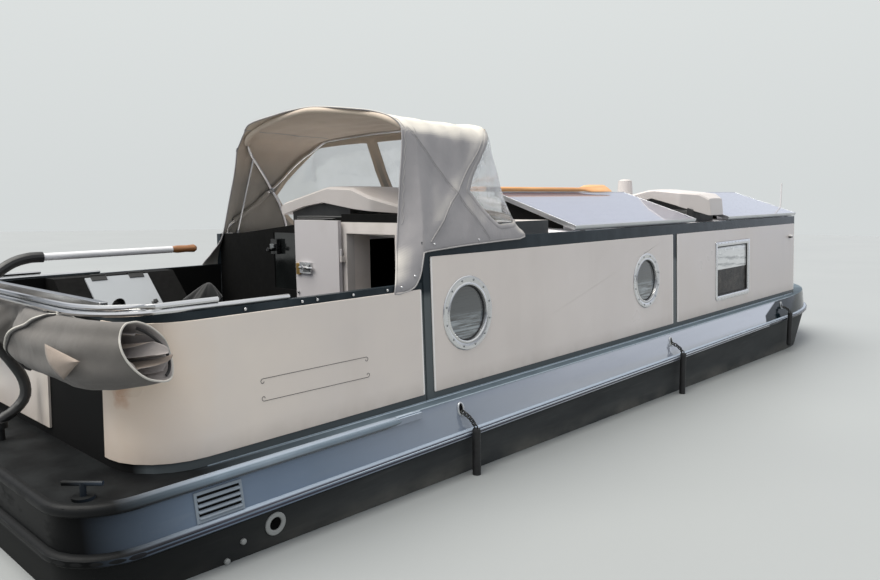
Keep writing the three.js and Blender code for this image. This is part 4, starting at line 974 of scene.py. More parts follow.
def rounded_outline(grow, steps=6):
    """The window's outline as (x, z) points, larger or smaller by grow."""
    x0, x1 = WINDOW["x0"] - grow, WINDOW["x1"] + grow
    z0, z1 = WINDOW["z0"] - grow, WINDOW["z1"] + grow
    corners = [(x0, z0, 1, 1, WINDOW["low"], 180), (x1, z0, -1, 1, WINDOW["low"], 270),
               (x1, z1, -1, -1, WINDOW["high"], 0), (x0, z1, 1, -1, WINDOW["high"], 90)]
    points = []
    for x, z, dx, dz, radius, start in corners:
        radius = max(radius + grow, 0.004)
        for i in range(steps + 1):
            a = radians(start + 90 * i / steps)
            points.append((x + dx * radius + radius * cos(a), z + dz * radius + radius * sin(a)))
    return points


def make_window(side):
    form = Form()
    x0, x1, z0, z1 = (WINDOW[key] for key in ("x0", "x1", "z0", "z1"))
    rim, edge = 0.047, 0.014

    def spot(x, z, proud):
        return at(x, side_y(side, z, proud), z)

    def loop(steps, slot, caps=False):
        """A skin through outlines given as (growth, proud)."""
        rings = [[spot(x, z, proud) for x, z in rounded_outline(grow)] for grow, proud in steps]
        form.rings(rings, slot, caps)

    loop([(-0.038, -0.048), (-0.046, -0.048), (-0.048, 0.006), (-0.044, 0.013), (-0.034, 0.0155),
          (-0.020, 0.0145), (-0.008, 0.0155), (-0.002, 0.014), (0.0, 0.010), (0.0, 0.0003),
          (-0.038, 0.0003), (-0.038, -0.048)], 0)
    loop([(-0.046, -0.004), (-0.047, 0.004), (-0.055, 0.005), (-0.058, -0.004), (-0.046, -0.004)], 1)
    loop([(-0.046, -0.016), (-0.046, -0.012)], 4, True)
    # The upper part of the pane carries the painted sky reflection.
    reflection_blinds_foot = z0 + 0.52 * (z1 - z0)
    section = [(x0 + rim, -0.0115), (x1 - rim, -0.0115), (x1 - rim, -0.007), (x0 + rim, -0.007)]
    for low, high, slot in ((reflection_blinds_foot, z1 - rim, 2), (z0 + rim, reflection_blinds_foot, 4)):
        form.rings([[spot(x, z, proud) for x, proud in section] for z in (low, high)], slot)
    for k in range(10):
        x = x0 + 0.05 + k * (x1 - x0 - 0.1) / 9
        for z in (z0 + edge, z1 - edge):
            form.lathe([(0.0045, 0.010), (0.0045, 0.0165), (0.001, 0.0178)], spot(x, z, 0),
                       (0, SIDES[side], LEAN), 8, 3)
    piece(f"window_frame_{side}", form, [STEEL, RUBBER, REFLECTION_BLINDS, DULL_STEEL, LOWER_GLASS],
          replaces=[f"window_{side}"])


# Solar panels: an aluminium frame round cells under glass, on angle legs, with a dark plate near each end
SOLAR = {"y0": -1.078, "y1": -0.322, "z0": 0.929, "z1": 1.189, "rim": 0.012, "thick": 0.036}
SOLAR_PANELS = {"aft": (3.660, 5.720), "front": (6.495, 8.545)}


def add_leg(form, x, y, top):
    """An angle from the roof up to the panel's frame on a bolted foot, or a low block."""
    base = roof_z(y) + SEAT
    if top - base < 0.03:
        form.box((x, x + 0.040), (y, y + 0.028), (base, top))
        return
    form.box((x, x + 0.040), (y, y + 0.004), (base, top))
    form.box((x, x + 0.004), (y + 0.004, y + 0.030), (base, top))
    form.box((x - 0.01, x + 0.05), (y - 0.02, y + 0.034), (base, base + 0.004))
    form.lathe([(0.008, 0.0), (0.008, 0.006), (0.004, 0.008)], at(x + 0.02, y - 0.008, base + 0.004),
               UPWARD, 6, 2)


def make_solar_panel(place, x0, x1):
    form = Form()
    y0, y1, z0, z1, rim, thick = SOLAR.values()
    foot, rise = Vector((0, y0, z0)), Vector((0, y1 - y0, z1 - z0))
    width, along = rise.length, rise.normalized()
    up = Vector((0, -along.z, along.y))

    def block(xs, across, lift, slot=0):
        """A block given by (low, high) pairs: along the boat, up the slope, and off the panel's underside."""
        (a0, a1), (l0, l1) = across, lift
        corners = [foot + along * a + up * l for a, l in ((a0, l0), (a1, l0), (a1, l1), (a0, l1))]
        form.rings([[at(x, p.y, p.z) for p in corners] for x in xs], slot)

    inner, within = (x0 + rim, x1 - rim), (rim, width - rim)
    for across in ((0.0, rim), (width - rim, width)):
        block((x0, x1), across, (0.0, thick))
    for xs in ((x0, x0 + rim), (x1 - rim, x1)):
        block(xs, within, (0.0, thick))
    block(inner, within, (thick - 0.008, thick - 0.002), 1)
    block(inner, within, (thick - 0.012, thick - 0.0085), 3)
    for across in ((rim, rim + 0.022), (width - rim - 0.022, width - rim)):
        block(inner, across, (0.0, 0.002))
    middle = (x0 + x1) / 2
    block((middle - 0.06, middle + 0.06), (width - 0.2, width - 0.1), (0.006, 0.024), 2)

    plate = [(y, z0 + (y - y0) * (z1 - z0) / (y1 - y0) - 0.002) for y in (y1 - 0.030, y0 + 0.140)]
    plate += [(y, roof_z(y) + 0.010) for y, _ in plate[::-1]]
    for x in (x0 + 0.060, x1 - 0.063):
        form.rings([[at(xx, y, z) for y, z in plate] for xx in (x, x + 0.003)], 4)
    for x in (x0 + 0.160, x1 - 0.200):
        add_leg(form, x, y1 - 0.050, z1 - 0.008)
        add_leg(form, x, y0 + 0.032, z0 + 0.012)
    piece(f"solar_frame_{place}", form, [ALUMINIUM, CELLS, GREY_PLASTIC, WHITE, MATT_BLACK],
          bevel=0.0012, replaces=[f"solar_panel_{place}"])


# Roof air conditioners: a pale moulded shell like a low ridge with a tapered nose, louvres and a dark base.
# top and under are the shell's lines from the nose to its port end, as (y, z) points.
AIR_CONDITIONERS = {
    "aft": {
        "x0": 2.120, "x1": 2.750, "base": (-0.330, 0.290), "taper": -0.560,
        "top": [(-0.830, 1.092), (-0.720, 1.140), (-0.385, 1.250), (-0.140, 1.262), (0.370, 1.157)],
        "under": [(-0.800, 1.075), (-0.403, 1.110), (-0.090, 1.154), (0.120, 1.128), (0.370, 1.070)],
    },
    "front": {
        "x0": 5.850, "x1": 6.420, "base": (-0.970, -0.190), "taper": -0.860,
        "top": [(-1.108, 1.040), (-1.090, 1.150), (-1.010, 1.200), (-0.600, 1.245), (-0.520, 1.240),
                (-0.130, 1.150), (-0.090, 1.110)],
        "under": [(-1.090, 0.988), (-0.820, 1.085), (-0.560, 1.156), (-0.300, 1.085), (-0.090, 1.010)],
    },
}


def on_line(line, x):
    """The second value at x of a line of pairs in rising order, held at its ends."""
    for (x0, z0), (x1, z1) in zip(line, line[1:]):
        if x <= x1:
            return z0 + (z1 - z0) * max(0.0, (x - x0) / (x1 - x0))
    return line[-1][1]


def shell_section(sizes, y):
    """An arch across the shell with soft shoulders, lower at both ends and narrower towards the nose."""
    y_port, y_nose = sizes["top"][-1][0], sizes["top"][0][0]
    t = max(0.0, (sizes["taper"] - y) / (sizes["taper"] - y_nose))
    xa, xb = sizes["x0"] + 0.150 * t, sizes["x1"] - 0.130 * t
    top, under = on_line(sizes["top"], y), on_line(sizes["under"], y)
    near_end = min(y_port - y, y - y_nose)
    corner = 0.014
    if near_end < corner:
        top -= (corner - sqrt(max(corner ** 2 - (corner - near_end) ** 2, 0.0))) * 0.8
    shoulder = min(max(top - under, 0.012) * 0.45, 0.014)
    section = []
    for k in range(29):
        u = -1 + 2 * k / 28
        fall = shoulder * max(0.0, abs(u) - 0.93) ** 2 / 0.07 ** 2 + 0.006 * u * u
        section.append(at((xa + xb) / 2 + (xb - xa) / 2 * u, y, top - fall))
    return section + [at(xb - 0.004, y, under), at(xa + 0.004, y, under)]


def make_air_conditioner(place, sizes):
    """The shell is a row of sections from its port end to the nose, over a dark base with louvres."""
    form = Form()
    y_port, y_nose = sizes["top"][-1][0], sizes["top"][0][0]
    rows = 56
    form.rings([shell_section(sizes, y_port + (y_nose - y_port) * i / rows) for i in range(rows + 1)])
    xs = (sizes["x0"] + 0.040, sizes["x1"] - 0.040)
    aft, front = sizes["base"]
    rings = []
    for i in range(11):
        y = aft + (front - aft) * i / 10
        low, high = roof_z(y) + SEAT, on_line(sizes["under"], y) + 0.012
        rings.append([at(xs[0], y, low), at(xs[1], y, low), at(xs[1], y, high), at(xs[0], y, high)])
    form.rings(rings, 1)
    for k in range(7):
        for x in (xs[0] - 0.003, xs[1] + 0.003):
            ys = [aft + 0.05 + (front - aft - 0.1) * j / 8 for j in range(9)]
            louvre = [(y, roof_z(y) + 0.030 + 0.013 * k) for y in ys]
            louvre = [at(x, y, z) for y, z in louvre if z + 0.006 <= on_line(sizes["under"], y)]
            if len(louvre) > 1:
                form.tube(louvre, 0.0032, 6, 2)
    piece(f"air_conditioner_shell_{place}", form, [PLASTIC, BLACK, GREY_PLASTIC],
          bevel=0.003, angle=40, replaces=[f"air_conditioner_{place}"])


# Fenders: a slim tube outside the rubbing bar on a short chain from a ringed hole in the hull plate.
# eye is the hole as (x, z), tube is the tube's x, z0 and z1 are its ends. Its axis is FENDER_OUT from the
# boat's middle.
FENDER_RADIUS = 0.0255
FENDER_OUT = 1.325
FENDERS = {
    "aft": {"eye": (2.195, -0.062), "tube": 2.238, "z0": -0.660, "z1": -0.172},
    "mid": {"eye": (4.935, -0.066), "tube": 5.000, "z0": -0.650, "z1": -0.166},
    "bow": {"eye": (7.690, -0.060), "tube": 7.745, "z0": -0.520, "z1": -0.140},
}
LINKS = 6


def chain_link(form, centre, along, flat, length, slot):
    """One oval link: its long way, and the way its face looks."""
    along = along.normalized()
    side = along.cross(flat).normalized()
    width = length * 0.72
    oval = [centre + along * (length / 2 * cos(a)) + side * (width / 2 * sin(a))
            for a in angles_round(18)]
    form.round_tube(oval, 0.0042, 8, slot)


def fender_profile(z0, z1):
    """The tube from its foot to its head, with shallow grooves, as (radius, z) pairs."""
    profile = [(0.004, z0), (0.016, z0 + 0.002), (0.023, z0 + 0.010), (FENDER_RADIUS, z0 + 0.022)]
    for k in range(12):
        z = z0 + 0.035 + (z1 - z0 - 0.07) * k / 11
        profile += [(FENDER_RADIUS, z - 0.006), (FENDER_RADIUS - 0.0010, z), (FENDER_RADIUS, z + 0.006)]
    return profile + [(FENDER_RADIUS, z1 - 0.012), (0.022, z1 - 0.003), (0.012, z1), (0.005, z1)]


def make_fender(side, place, sizes):
    """The tube, its chain, and the ring round the hole that the chain comes out of."""
    form = Form()
    sign = SIDES[side]
    x, z0, z1 = sizes["tube"], sizes["z0"], sizes["z1"]
    form.lathe(fender_profile(z0, z1), at(x, sign * FENDER_OUT, 0), UPWARD, 28, 0)
    hole = on_plate(side, *sizes["eye"])

    def oval(wide, tall, lift, count):
        """An upright oval on the hull plate round the hole."""
        return [hole + Vector((wide * cos(a), sign * (lift - PLATE_LEAN * tall * sin(a)),
                               tall * sin(a))) for a in angles_round(count)]

    form.round_tube(oval(0.023, 0.036, 0.003, 32), 0.0062, 10, 2)
    form.rings([oval(0.020, 0.032, lift, 24) for lift in (0.0006, 0.0016)], 3)
    start = hole + Vector((0, sign * 0.012, -0.012))
    end = at(x, sign * FENDER_OUT, z1 + 0.002)
    knee = start.lerp(end, 0.45) + Vector((0, sign * 0.014, 0.004))
    path = evenly(smooth_line([start, knee, end], 40), 60)
    for k in range(LINKS):
        i = round(60 * (k + 0.5) / LINKS)
        ahead = path[min(i + 3, 60)] - path[max(i - 3, 0)]
        flat = FORWARD if k % 2 else Vector((0, sign, 0.3))
        chain_link(form, path[i], ahead, flat, (end - start).length / LINKS * 1.55, 1)
    piece(f"fender_tube_{side}_{place}", form, [RUBBER, CHAIN, EYE_STEEL, MATT_BLACK],
          replaces=[f"fender_{side}_{place}"])


# Oar on the aft solar panel's upper edge. A section is (x, half width, half height, rise), and the blade lies
# tilted with its starboard edge down.
OAR = {"y": -0.340, "z": 1.24275, "tilt": radians(35), "sleeve": (3.520, 3.700)}
OAR_SECTIONS = [
    (3.100, 0.010, 0.010, 0.0), (3.104, 0.017, 0.017, 0.0), (3.200, 0.017, 0.017, 0.0),
    (3.220, 0.019, 0.019, 0.0), (4.870, 0.019, 0.019, 0.0), (4.940, 0.030, 0.015, 0.004),
    (5.020, 0.052, 0.012, 0.008), (5.120, 0.060, 0.010, 0.012), (5.370, 0.060, 0.008, 0.014),
    (5.394, 0.056, 0.006, 0.014), (5.400, 0.048, 0.003, 0.014),
]


def make_oar():
    form = Form()
    y, z, tilt, sleeve = OAR.values()
    rings = []
    for x, wide, tall, rise in OAR_SECTIONS:
        ring = []
        for a in angles_round(20):
            out, up = wide * cos(a), tall * sin(a)
            ring.append(at(x, y + out * cos(tilt) - up * sin(tilt),
                           z + rise + out * sin(tilt) + up * cos(tilt)))
        rings.append(ring)
    form.rings(rings)
    form.tube([at(x, y, z) for x in sleeve], 0.0212, 20, 1)
    piece("oar_blade_and_loom", form, [WOOD, DARK_LEATHER], angle=60, replaces=["oar"])


# Sprayhood: canvas through arches from aft to forward, with clear windows, seams and bindings.
# An arch is given for one side as (x, half width, z) points, from its foot to the crown.
HOOD_ARCHES = [
    [(1.800, 1.117, 0.645), (1.810, 1.116, 0.692), (1.862, 1.066, 0.775), (1.926, 1.005, 0.900),
     (2.008, 0.955, 1.300), (2.050, 0.932, 1.550), (2.056, 0.898, 1.605), (2.035, 0.814, 1.655),
     (1.965, 0.605, 1.705), (1.958, 0.210, 1.750), (1.958, 0.0, 1.757)],
    [(2.025, 1.117, 0.645), (2.025, 1.117, 0.690), (2.030, 1.117, 0.790), (2.050, 1.108, 0.930),
     (2.110, 1.004, 1.300), (2.150, 0.950, 1.550), (2.155, 0.908, 1.600), (2.150, 0.830, 1.650),
     (2.110, 0.605, 1.695), (2.110, 0.210, 1.738), (2.110, 0.0, 1.744)],
    [(2.650, 1.117, 0.645), (2.650, 1.117, 0.690), (2.650, 1.117, 0.790), (2.670, 1.112, 0.950),
     (2.775, 1.016, 1.250), (2.850, 0.950, 1.500), (2.860, 0.905, 1.580), (2.865, 0.830, 1.635),
     (2.890, 0.600, 1.660), (2.905, 0.210, 1.670), (2.905, 0.0, 1.670)],
    [(3.000, 1.117, 0.645), (3.000, 1.117, 0.690), (3.000, 1.117, 0.790), (3.000, 1.110, 0.925),
     (3.000, 1.070, 0.962), (3.004, 1.000, 0.975), (3.010, 0.905, 0.984), (3.018, 0.814, 0.990),
     (3.030, 0.600, 0.994), (3.035, 0.210, 0.996), (3.035, 0.0, 0.996)],
]
HOOD_FOOT = [(1.795, 0.668), (1.806, 0.650), (1.831, 0.645), (1.915, 0.657), (1.963, 0.676), (2.008, 0.732),
             (2.026, 0.799), (2.036, 0.862), (2.060, 0.868), (2.376, 0.886), (2.769, 0.899), (2.94, 0.902),
             (3.10, 0.935)]
# HOOD_ROWS is how many steps a half arch has, and HOOD_SPANS how many there are from each arch to the next.
# Between the hoops the canvas falls in by up to SAG. ASKEW is how much further forward it stands amidships
# than on its starboard side.
HOOD_ROWS = 120
HOOD_SPANS = (16, 60, 50)
HOOD_MIDDLE = (2.46, 0.0, 1.22)
CANVAS_THICK = 0.003
LACED_ABOVE = 1.02
SAG = 0.016
ASKEW = 0.045
# Snaps at the canvas' lower edge, as (x, z), and a snap's profile
HOOD_SNAPS = [(1.848, 0.682), (1.962, 0.735), (2.123, 0.908), (2.521, 0.915)]
SNAP = [(0.0075, 0.0), (0.0075, 0.003), (0.005, 0.0055), (0.001, 0.006)]
# The roof carries the canvas out to ROOF_HALF, and the hatch's garage does where it stands higher
ROOF_HALF = 1.04
GARAGE = {"x0": 2.700, "y0": -1.010, "y1": -0.374, "top": 1.012}

# Each hoop is flat: it stands from its feet to its crown, given as (x, z), and crosses the other on the way.
# ridge is how far the canvas stands out over it, and how wide that ridge is.
HOOPS = {"aft": {"foot": (2.640, 0.905), "crown": (1.985, 1.722), "askew": 0.12, "ridge": (0.006, 0.040)},
         "front": {"foot": (2.090, 0.905), "crown": (2.885, 1.650), "askew": 0.0, "ridge": (0.010, 0.045)}}
HOOP_RADIUS = 0.0125
HOOP_HALF = 1.061
HOOP_FOOT_Z = ROOF_EDGE_Z + SEAT

# The clear windows' edges as (x, y, z) places near the canvas; the strip between them leans to port
STARBOARD_WINDOW = [
    (2.520, -1.010, 1.215), (2.600, -0.985, 1.325), (2.690, -0.965, 1.420), (2.790, -0.940, 1.520),
    (2.850, -0.880, 1.590), (2.900, -0.700, 1.625), (2.920, -0.400, 1.632), (2.930, 0.000, 1.634),
    (2.930, 0.250, 1.632), (2.960, 0.195, 1.400), (3.010, 0.110, 1.140), (3.020, 0.080, 1.095),
    (3.020, -0.300, 1.085), (3.010, -0.800, 1.075), (2.990, -0.980, 1.050), (2.900, -1.060, 1.000),
    (2.740, -1.080, 0.990), (2.650, -1.060, 1.060),
]
STRIP_WIDTH = 0.085


def mirrored_window(window):
    """The port window: the starboard one mirrored, apart from the edge beside the centre strip."""
    points = []
    for x, y, z in window:
        beside_strip = x > 2.925 and y > 0.05
        points.append((x, y + STRIP_WIDTH, z) if beside_strip else (x, -y, z))
    return [p for p in points if p[1] > 0.1]


HOOD_WINDOWS = [STARBOARD_WINDOW, mirrored_window(STARBOARD_WINDOW)]


def hood_columns():
    """Half arches from aft to forward, each as a fine line from the foot to the crown."""
    fine = [line_by_knots(arch) for arch in HOOD_ARCHES]
    columns = []
    for k, count in enumerate(HOOD_SPANS):
        for i in range(count):
            t = i / count
            columns.append([a.lerp(b, t) for a, b in zip(fine[k], fine[k + 1])])
    columns.append(fine[-1])
    return columns


def line_by_knots(arch, steps=16):
    """A fine line with the same number of points between any two given ones, so that arches match."""
    line = []
    points = [Vector(p) for p in arch]
    mirrored_points = [*points, Vector((points[-2].x, -points[-2].y, points[-2].z))]
    for k in range(len(points) - 1):
        before = mirrored_points[max(k - 1, 0)]
        a, b, after = mirrored_points[k], mirrored_points[k + 1], mirrored_points[k + 2]
        reach = (b - a).length
        start = (b - before).normalized() * reach
        end = (after - a).normalized() * reach
        for i in range(steps):
            t = i / steps
            h1 = 2 * t ** 3 - 3 * t ** 2 + 1
            h2 = t ** 3 - 2 * t ** 2 + t
            h3 = -2 * t ** 3 + 3 * t ** 2
            h4 = t ** 3 - t ** 2
            line.append(a * h1 + start * h2 + b * h3 + end * h4)
    line.append(points[-1])
    return line


def clipped_column(column):
    """The part of a half arch above the foot line, as evenly spaced points."""
    start = 0
    for i, (a, b) in enumerate(zip(column, column[1:])):
        if a.z < on_line(HOOD_FOOT, a.x) <= b.z or (i == 0 and a.z >= on_line(HOOD_FOOT, a.x)):
            start = i
            break
    kept = column[start:]
    foot = on_line(HOOD_FOOT, kept[0].x)
    if kept[0].z < foot:
        a, b = kept[0], kept[1]
        t = (foot - a.z) / max(b.z - a.z, 1e-6)
        kept[0] = a.lerp(b, clamped(t))
    return evenly(kept, HOOD_ROWS)


def over_garage(x, y, z):
    """Keeps canvas above the roof, and above the hatch's garage where that lies below it."""
    beside = 0.02
    low = 0.0
    if x > BULKHEAD_X and abs(y) < ROOF_HALF + beside:
        low = roof_z(min(abs(y), ROOF_HALF)) + 0.004
    if x > GARAGE["x0"] and GARAGE["y0"] - beside < y < GARAGE["y1"] + beside:
        low = max(low, GARAGE["top"] + 0.010)
    return max(z, low)


def off_hoop(hoop, x, z):
    """How far a place in side view lies from the hoop's plane."""
    foot, crown = Vector(hoop["foot"]), Vector(hoop["crown"])
    along = (crown - foot).normalized()
    away = Vector((x, z)) - foot
    return away.x * along.y - away.y * along.x


def tautness(x, y, z):
    """The canvas stands out over the hoops and falls in between them; small pulls run from the rim."""
    ridges = 0.0
    for hoop in HOOPS.values():
        tall, wide = hoop["ridge"]
        ridges += tall * exp(-(off_hoop(hoop, x, z) / wide) ** 2)
    over = max(0.0, 1 - abs(y) / 0.95)
    sag = SAG * over * sin(pi * clamped((x - 2.05) / 0.80))
    pulls = 0.0030 * sin(x * 19 + y * 7 + z * 5) + 0.0018 * sin(x * 43 - z * 17)
    above_roof = clamped((z - 0.92) / 0.12)
    return (ridges - sag + pulls) * above_roof


def askew(x, y):
    """The hood's aft part stands a little further forward on its port side."""
    return ASKEW * (1 + y) * clamped((2.9 - x) / 0.6)


def hood_surface():
    """Points of the hood in rows over the boat, one row for each place along it."""
    flat = []
    for column in hood_columns():
        half = clipped_column(column)
        starboard = [(p.x, -p.y, p.z) for p in half]
        port = [(p.x, p.y, p.z) for p in half[:-1]][::-1]
        flat.append([(x + askew(x, y), y, over_garage(x, y, z)) for x, y, z in starboard + port])
    grid = []
    middle = Vector(HOOD_MIDDLE)
    for r, row in enumerate(flat):
        line = []
        for i, here in enumerate(row):
            p = Vector(here)
            across = Vector(row[min(i + 1, len(row) - 1)]) - Vector(row[max(i - 1, 0)])
            along = Vector(flat[min(r + 1, len(flat) - 1)][i]) - Vector(flat[max(r - 1, 0)][i])
            normal = across.cross(along).normalized()
            if normal.dot(p - middle) < 0:
                normal = -normal
            fade = min(1.0, (len(flat) - 1 - r) / 8) * min(1.0, i / 6, (len(row) - 1 - i) / 6)
            line.append(p + normal * tautness(*here) * fade)
        grid.append(line)
    return grid


def seen_from_middle(x, y, z):
    """Directions from the hood's middle: round it, and up."""
    away = Vector((x, y, z)) - Vector(HOOD_MIDDLE)
    return atan2(away.y, away.x), atan2(away.z, hypot(away.x, away.y))


WINDOW_SHAPES = [[seen_from_middle(*p) for p in window] for window in HOOD_WINDOWS]


def inside(polygon, u, v):
    hit = False
    for (u0, v0), (u1, v1) in zip(polygon, polygon[1:] + polygon[:1]):
        if (v0 > v) != (v1 > v) and u < (u1 - u0) * (v - v0) / (v1 - v0) + u0:
            hit = not hit
    return hit


class HoodSkin:
    """The hood's outer face, with ways to find places on it."""

    def __init__(self, grid):
        self.grid = grid
        self.count = len(grid[0])
        self.points = [at(*p) for row in grid for p in row]
        self.faces = []
        for r in range(len(grid) - 1):
            for i in range(self.count - 1):
                a = r * self.count + i
                self.faces.append([a, a + 1, a + 1 + self.count, a + self.count])
        self.tree = BVHTree.FromPolygons(self.points, self.faces)

    def reach(self, toward, start=HOOD_MIDDLE):
        """Where a line from the start through a place meets the canvas, and the way out there."""
        start = at(*start)
        way = (at(*toward) - start).normalized()
        place, normal, _, _ = self.tree.ray_cast(start, way)
        if place is None:
            place, normal, _, _ = self.tree.find_nearest(at(*toward))
        return place, normal if normal.dot(way) > 0 else -normal

    def drawn(self, places, steps, closed=False):
        """A fine line on the canvas near the given places."""
        places = [*places, places[0]] if closed else places
        fine = evenly([Vector(p) for p in places], steps)
        return [self.reach(p) for p in fine]


def ribbon(form, line, width, lift, thick, slot=0):
    """A flat band along (place, way out) pairs, lifted off the surface. Negative lift is inside it."""
    rings = []
    last = len(line) - 1
    for i, (place, normal) in enumerate(line):
        ahead = (line[min(i + 1, last)][0] - line[max(i - 1, 0)][0]).normalized()
        side = ahead.cross(normal).normalized() * width / 2
        low, high = normal * lift, normal * (lift + thick)
        rings.append([place - side + low, place + side + low, place + side * 0.9 + high,
                      place - side * 0.9 + high])
    form.rings(rings, slot)


def make_sprayhood(skin):
    slots = []
    for face in skin.faces:
        middle = sum((skin.points[i] for i in face), Vector()) / 4
        here = seen_from_middle(middle.x - ORIGIN_X, middle.y, middle.z - DECK)
        slots.append(1 if any(inside(shape, *here) for shape in WINDOW_SHAPES) else 0)
    form = Form()
    form.points, form.faces, form.slots = skin.points, skin.faces, slots
    hood = piece("sprayhood_canvas", form, [CANVAS, VINYL, CANVAS_INSIDE, VINYL], angle=60,
                 replaces=["sprayhood"])
    face_out(hood, at(*HOOD_MIDDLE))
    make_cloth(hood, 3.3, 0.12, 2, CANVAS_THICK, lining=2, held="stretched", rests_on=["sprayhood_hoops"])


def face_out(thing, centre):
    """Turns a mesh's faces so that they look away from a point."""
    work = bmesh.new()
    work.from_mesh(thing.data)
    outward = [face.normal.dot(face.calc_center_median() - centre) > 0 for face in work.faces]
    if sum(outward) < len(outward) / 2:
        bmesh.ops.reverse_faces(work, faces=work.faces)
    work.to_mesh(thing.data)
    work.free()


def make_hood_trim(skin):
    """Hems round the windows, seams, the rim's binding and lacing, the lower edge's piping and the snaps."""
    form = Form()
    inner = -CANVAS_THICK - 0.0015
    for window in HOOD_WINDOWS:
        hem = skin.drawn(window, 150, closed=True)
        ribbon(form, hem, 0.030, 0.0002, 0.0012, 0)
        ribbon(form, hem, 0.034, inner, 0.0012, 1)
    for sign in SIDES.values():
        for hoop in HOOPS.values():
            (x0, z0), (x1, z1) = hoop["foot"], hoop["crown"]
            seam = skin.drawn([(x0 + (x1 - x0) * t, sign * (1.10 - 0.14 * t), z0 + (z1 - z0) * t)
                               for t in (0.02, 0.2, 0.4, 0.6, 0.75, 0.86)], 60)
            ribbon(form, seam, 0.020, 0.0002, 0.0012, 0)
            ribbon(form, seam, 0.0016, 0.0012, 0.0008, 2)
        seam = skin.drawn([(x, sign * 0.760, 1.72) for x in (2.00, 2.2, 2.4, 2.6, 2.84)], 40)
        ribbon(form, seam, 0.018, 0.0002, 0.0010, 0)
        ribbon(form, seam, 0.016, inner, 0.0010, 3)
    form.tube([at(*p) for p in skin.grid[0]], 0.0050, 8, 0)
    lacing = []
    for k, p in enumerate(evenly(skin.grid[3][6:skin.count - 6], 260)):
        if p.z > LACED_ABOVE:
            place, normal = skin.reach((p.x + 0.006 * sin(k * pi / 3), p.y, p.z))
            lacing.append(place + normal * 0.0015)
    form.tube(lacing, 0.0018, 6, 3)
    for edge in ([row[0] for row in skin.grid], [row[-1] for row in skin.grid], skin.grid[-1]):
        form.tube([at(*p) for p in edge], 0.0042, 8, 3)
    for sign in SIDES.values():
        for x, z in HOOD_SNAPS:
            place, normal = skin.reach((x, sign * 1.12, z), (x, 0.0, z))
            form.lathe(SNAP, place, normal, 12, 4)
    piece("sprayhood_trim", form, [CANVAS, HEM, BINDING, HOOD_PIPING, STEEL], angle=50)


def hoop_path(skin, hoop):
    """A hoop's path inside the canvas, from its starboard foot on the roof's edge to its port one."""
    foot, crown = Vector(hoop["foot"]), Vector(hoop["crown"])
    middle = foot.lerp(crown, 0.46)
    up = (crown - foot).normalized()
    inset = CANVAS_THICK + HOOP_RADIUS + 0.004
    low, steps = -0.62, 88
    arch = []
    for i in range(steps + 1):
        a = low + (pi - 2 * low) * i / steps
        x = middle.x + hoop["askew"] * (1 - cos(a)) / 2
        toward = (x + up.x * sin(a), -cos(a), middle.y + up.y * sin(a))
        place, normal = skin.reach(toward, (x, 0.0, middle.y))
        arch.append(place - normal * inset)
    arch = [p for p in evenly(arch, 140) if p.z > DECK + 1.09]
    starboard, port = ([at(hoop["foot"][0], sign * (HOOP_HALF - lean), HOOP_FOOT_Z + rise)
                        for lean, rise in ((0, 0.016), (0.002, 0.040))] for sign in (-1, 1))
    return smooth_line([*starboard, *arch[2:-2:4], *port[::-1]], 170)


def make_hoops(skin):
    """Both hoops with their feet, and a brace on each side from the aft hoop down to the roof's edge."""
    form = Form()
    paths = {place: hoop_path(skin, hoop) for place, hoop in HOOPS.items()}
    for place, path in paths.items():
        form.tube(path, HOOP_RADIUS, 16, 0)
        foot_x = HOOPS[place]["foot"][0]
        for sign in SIDES.values():
            y = sign * HOOP_HALF
            base = at(foot_x, y, HOOP_FOOT_Z)
            form.box((foot_x - 0.045, foot_x + 0.045), (y - 0.013, y + 0.013),
                     (HOOP_FOOT_Z, HOOP_FOOT_Z + 0.006))
            form.lathe([(0.012, 0.006), (0.012, 0.020), (0.016, 0.024), (0.016, 0.034), (0.013, 0.038)],
                       base, UPWARD, 16, 0)
            for dx in (-0.032, 0.032):
                bolt = [(0.006, 0.006), (0.006, 0.009), (0.002, 0.011)]
                form.lathe(bolt, base + FORWARD * dx, UPWARD, 8, 1)
    for sign in SIDES.values():
        aft = [p for p in paths["aft"] if p.y * sign > 0]
        top = min(aft, key=lambda p: abs(p.z - DECK - 1.500) + abs(p.y - sign * 0.95) * 0.2)
        low = at(2.175, sign * 1.040, HOOP_FOOT_Z + 0.010)
        form.tube([top, top.lerp(low, 0.5), low], 0.0085, 12, 0)
        form.lathe([(0.013, -0.010), (0.013, 0.012), (0.009, 0.016)], low, UPWARD, 12, 1)
        cross = min(aft, key=lambda p: min((p - q).length for q in paths["front"]))
        form.lathe([(0.020, -0.016), (0.020, 0.016)], cross, (1, 0, -1), 14, 1)
    piece("sprayhood_hoops", form, [STEEL, DULL_STEEL], angle=50, bevel=0.001,
          replaces=["sprayhood_frame"])


def make_sleeves(skin):
    """Canvas sleeves that hold the hoops: the aft one's top and the front one's legs."""
    aft, front = (hoop_path(skin, hoop) for hoop in HOOPS.values())
    held = [[p for p in aft if p.z > DECK + 1.585]]
    held += [[p for p in front if p.y * sign > 0 and DECK + 0.985 < p.z < DECK + 1.235] for sign in (-1, 1)]
    form = Form()
    for line in held:
        form.tube(line[::2], HOOP_RADIUS + 0.007, 12, 0)
    piece("sprayhood_sleeves", form, [CANVAS_INSIDE], angle=50)


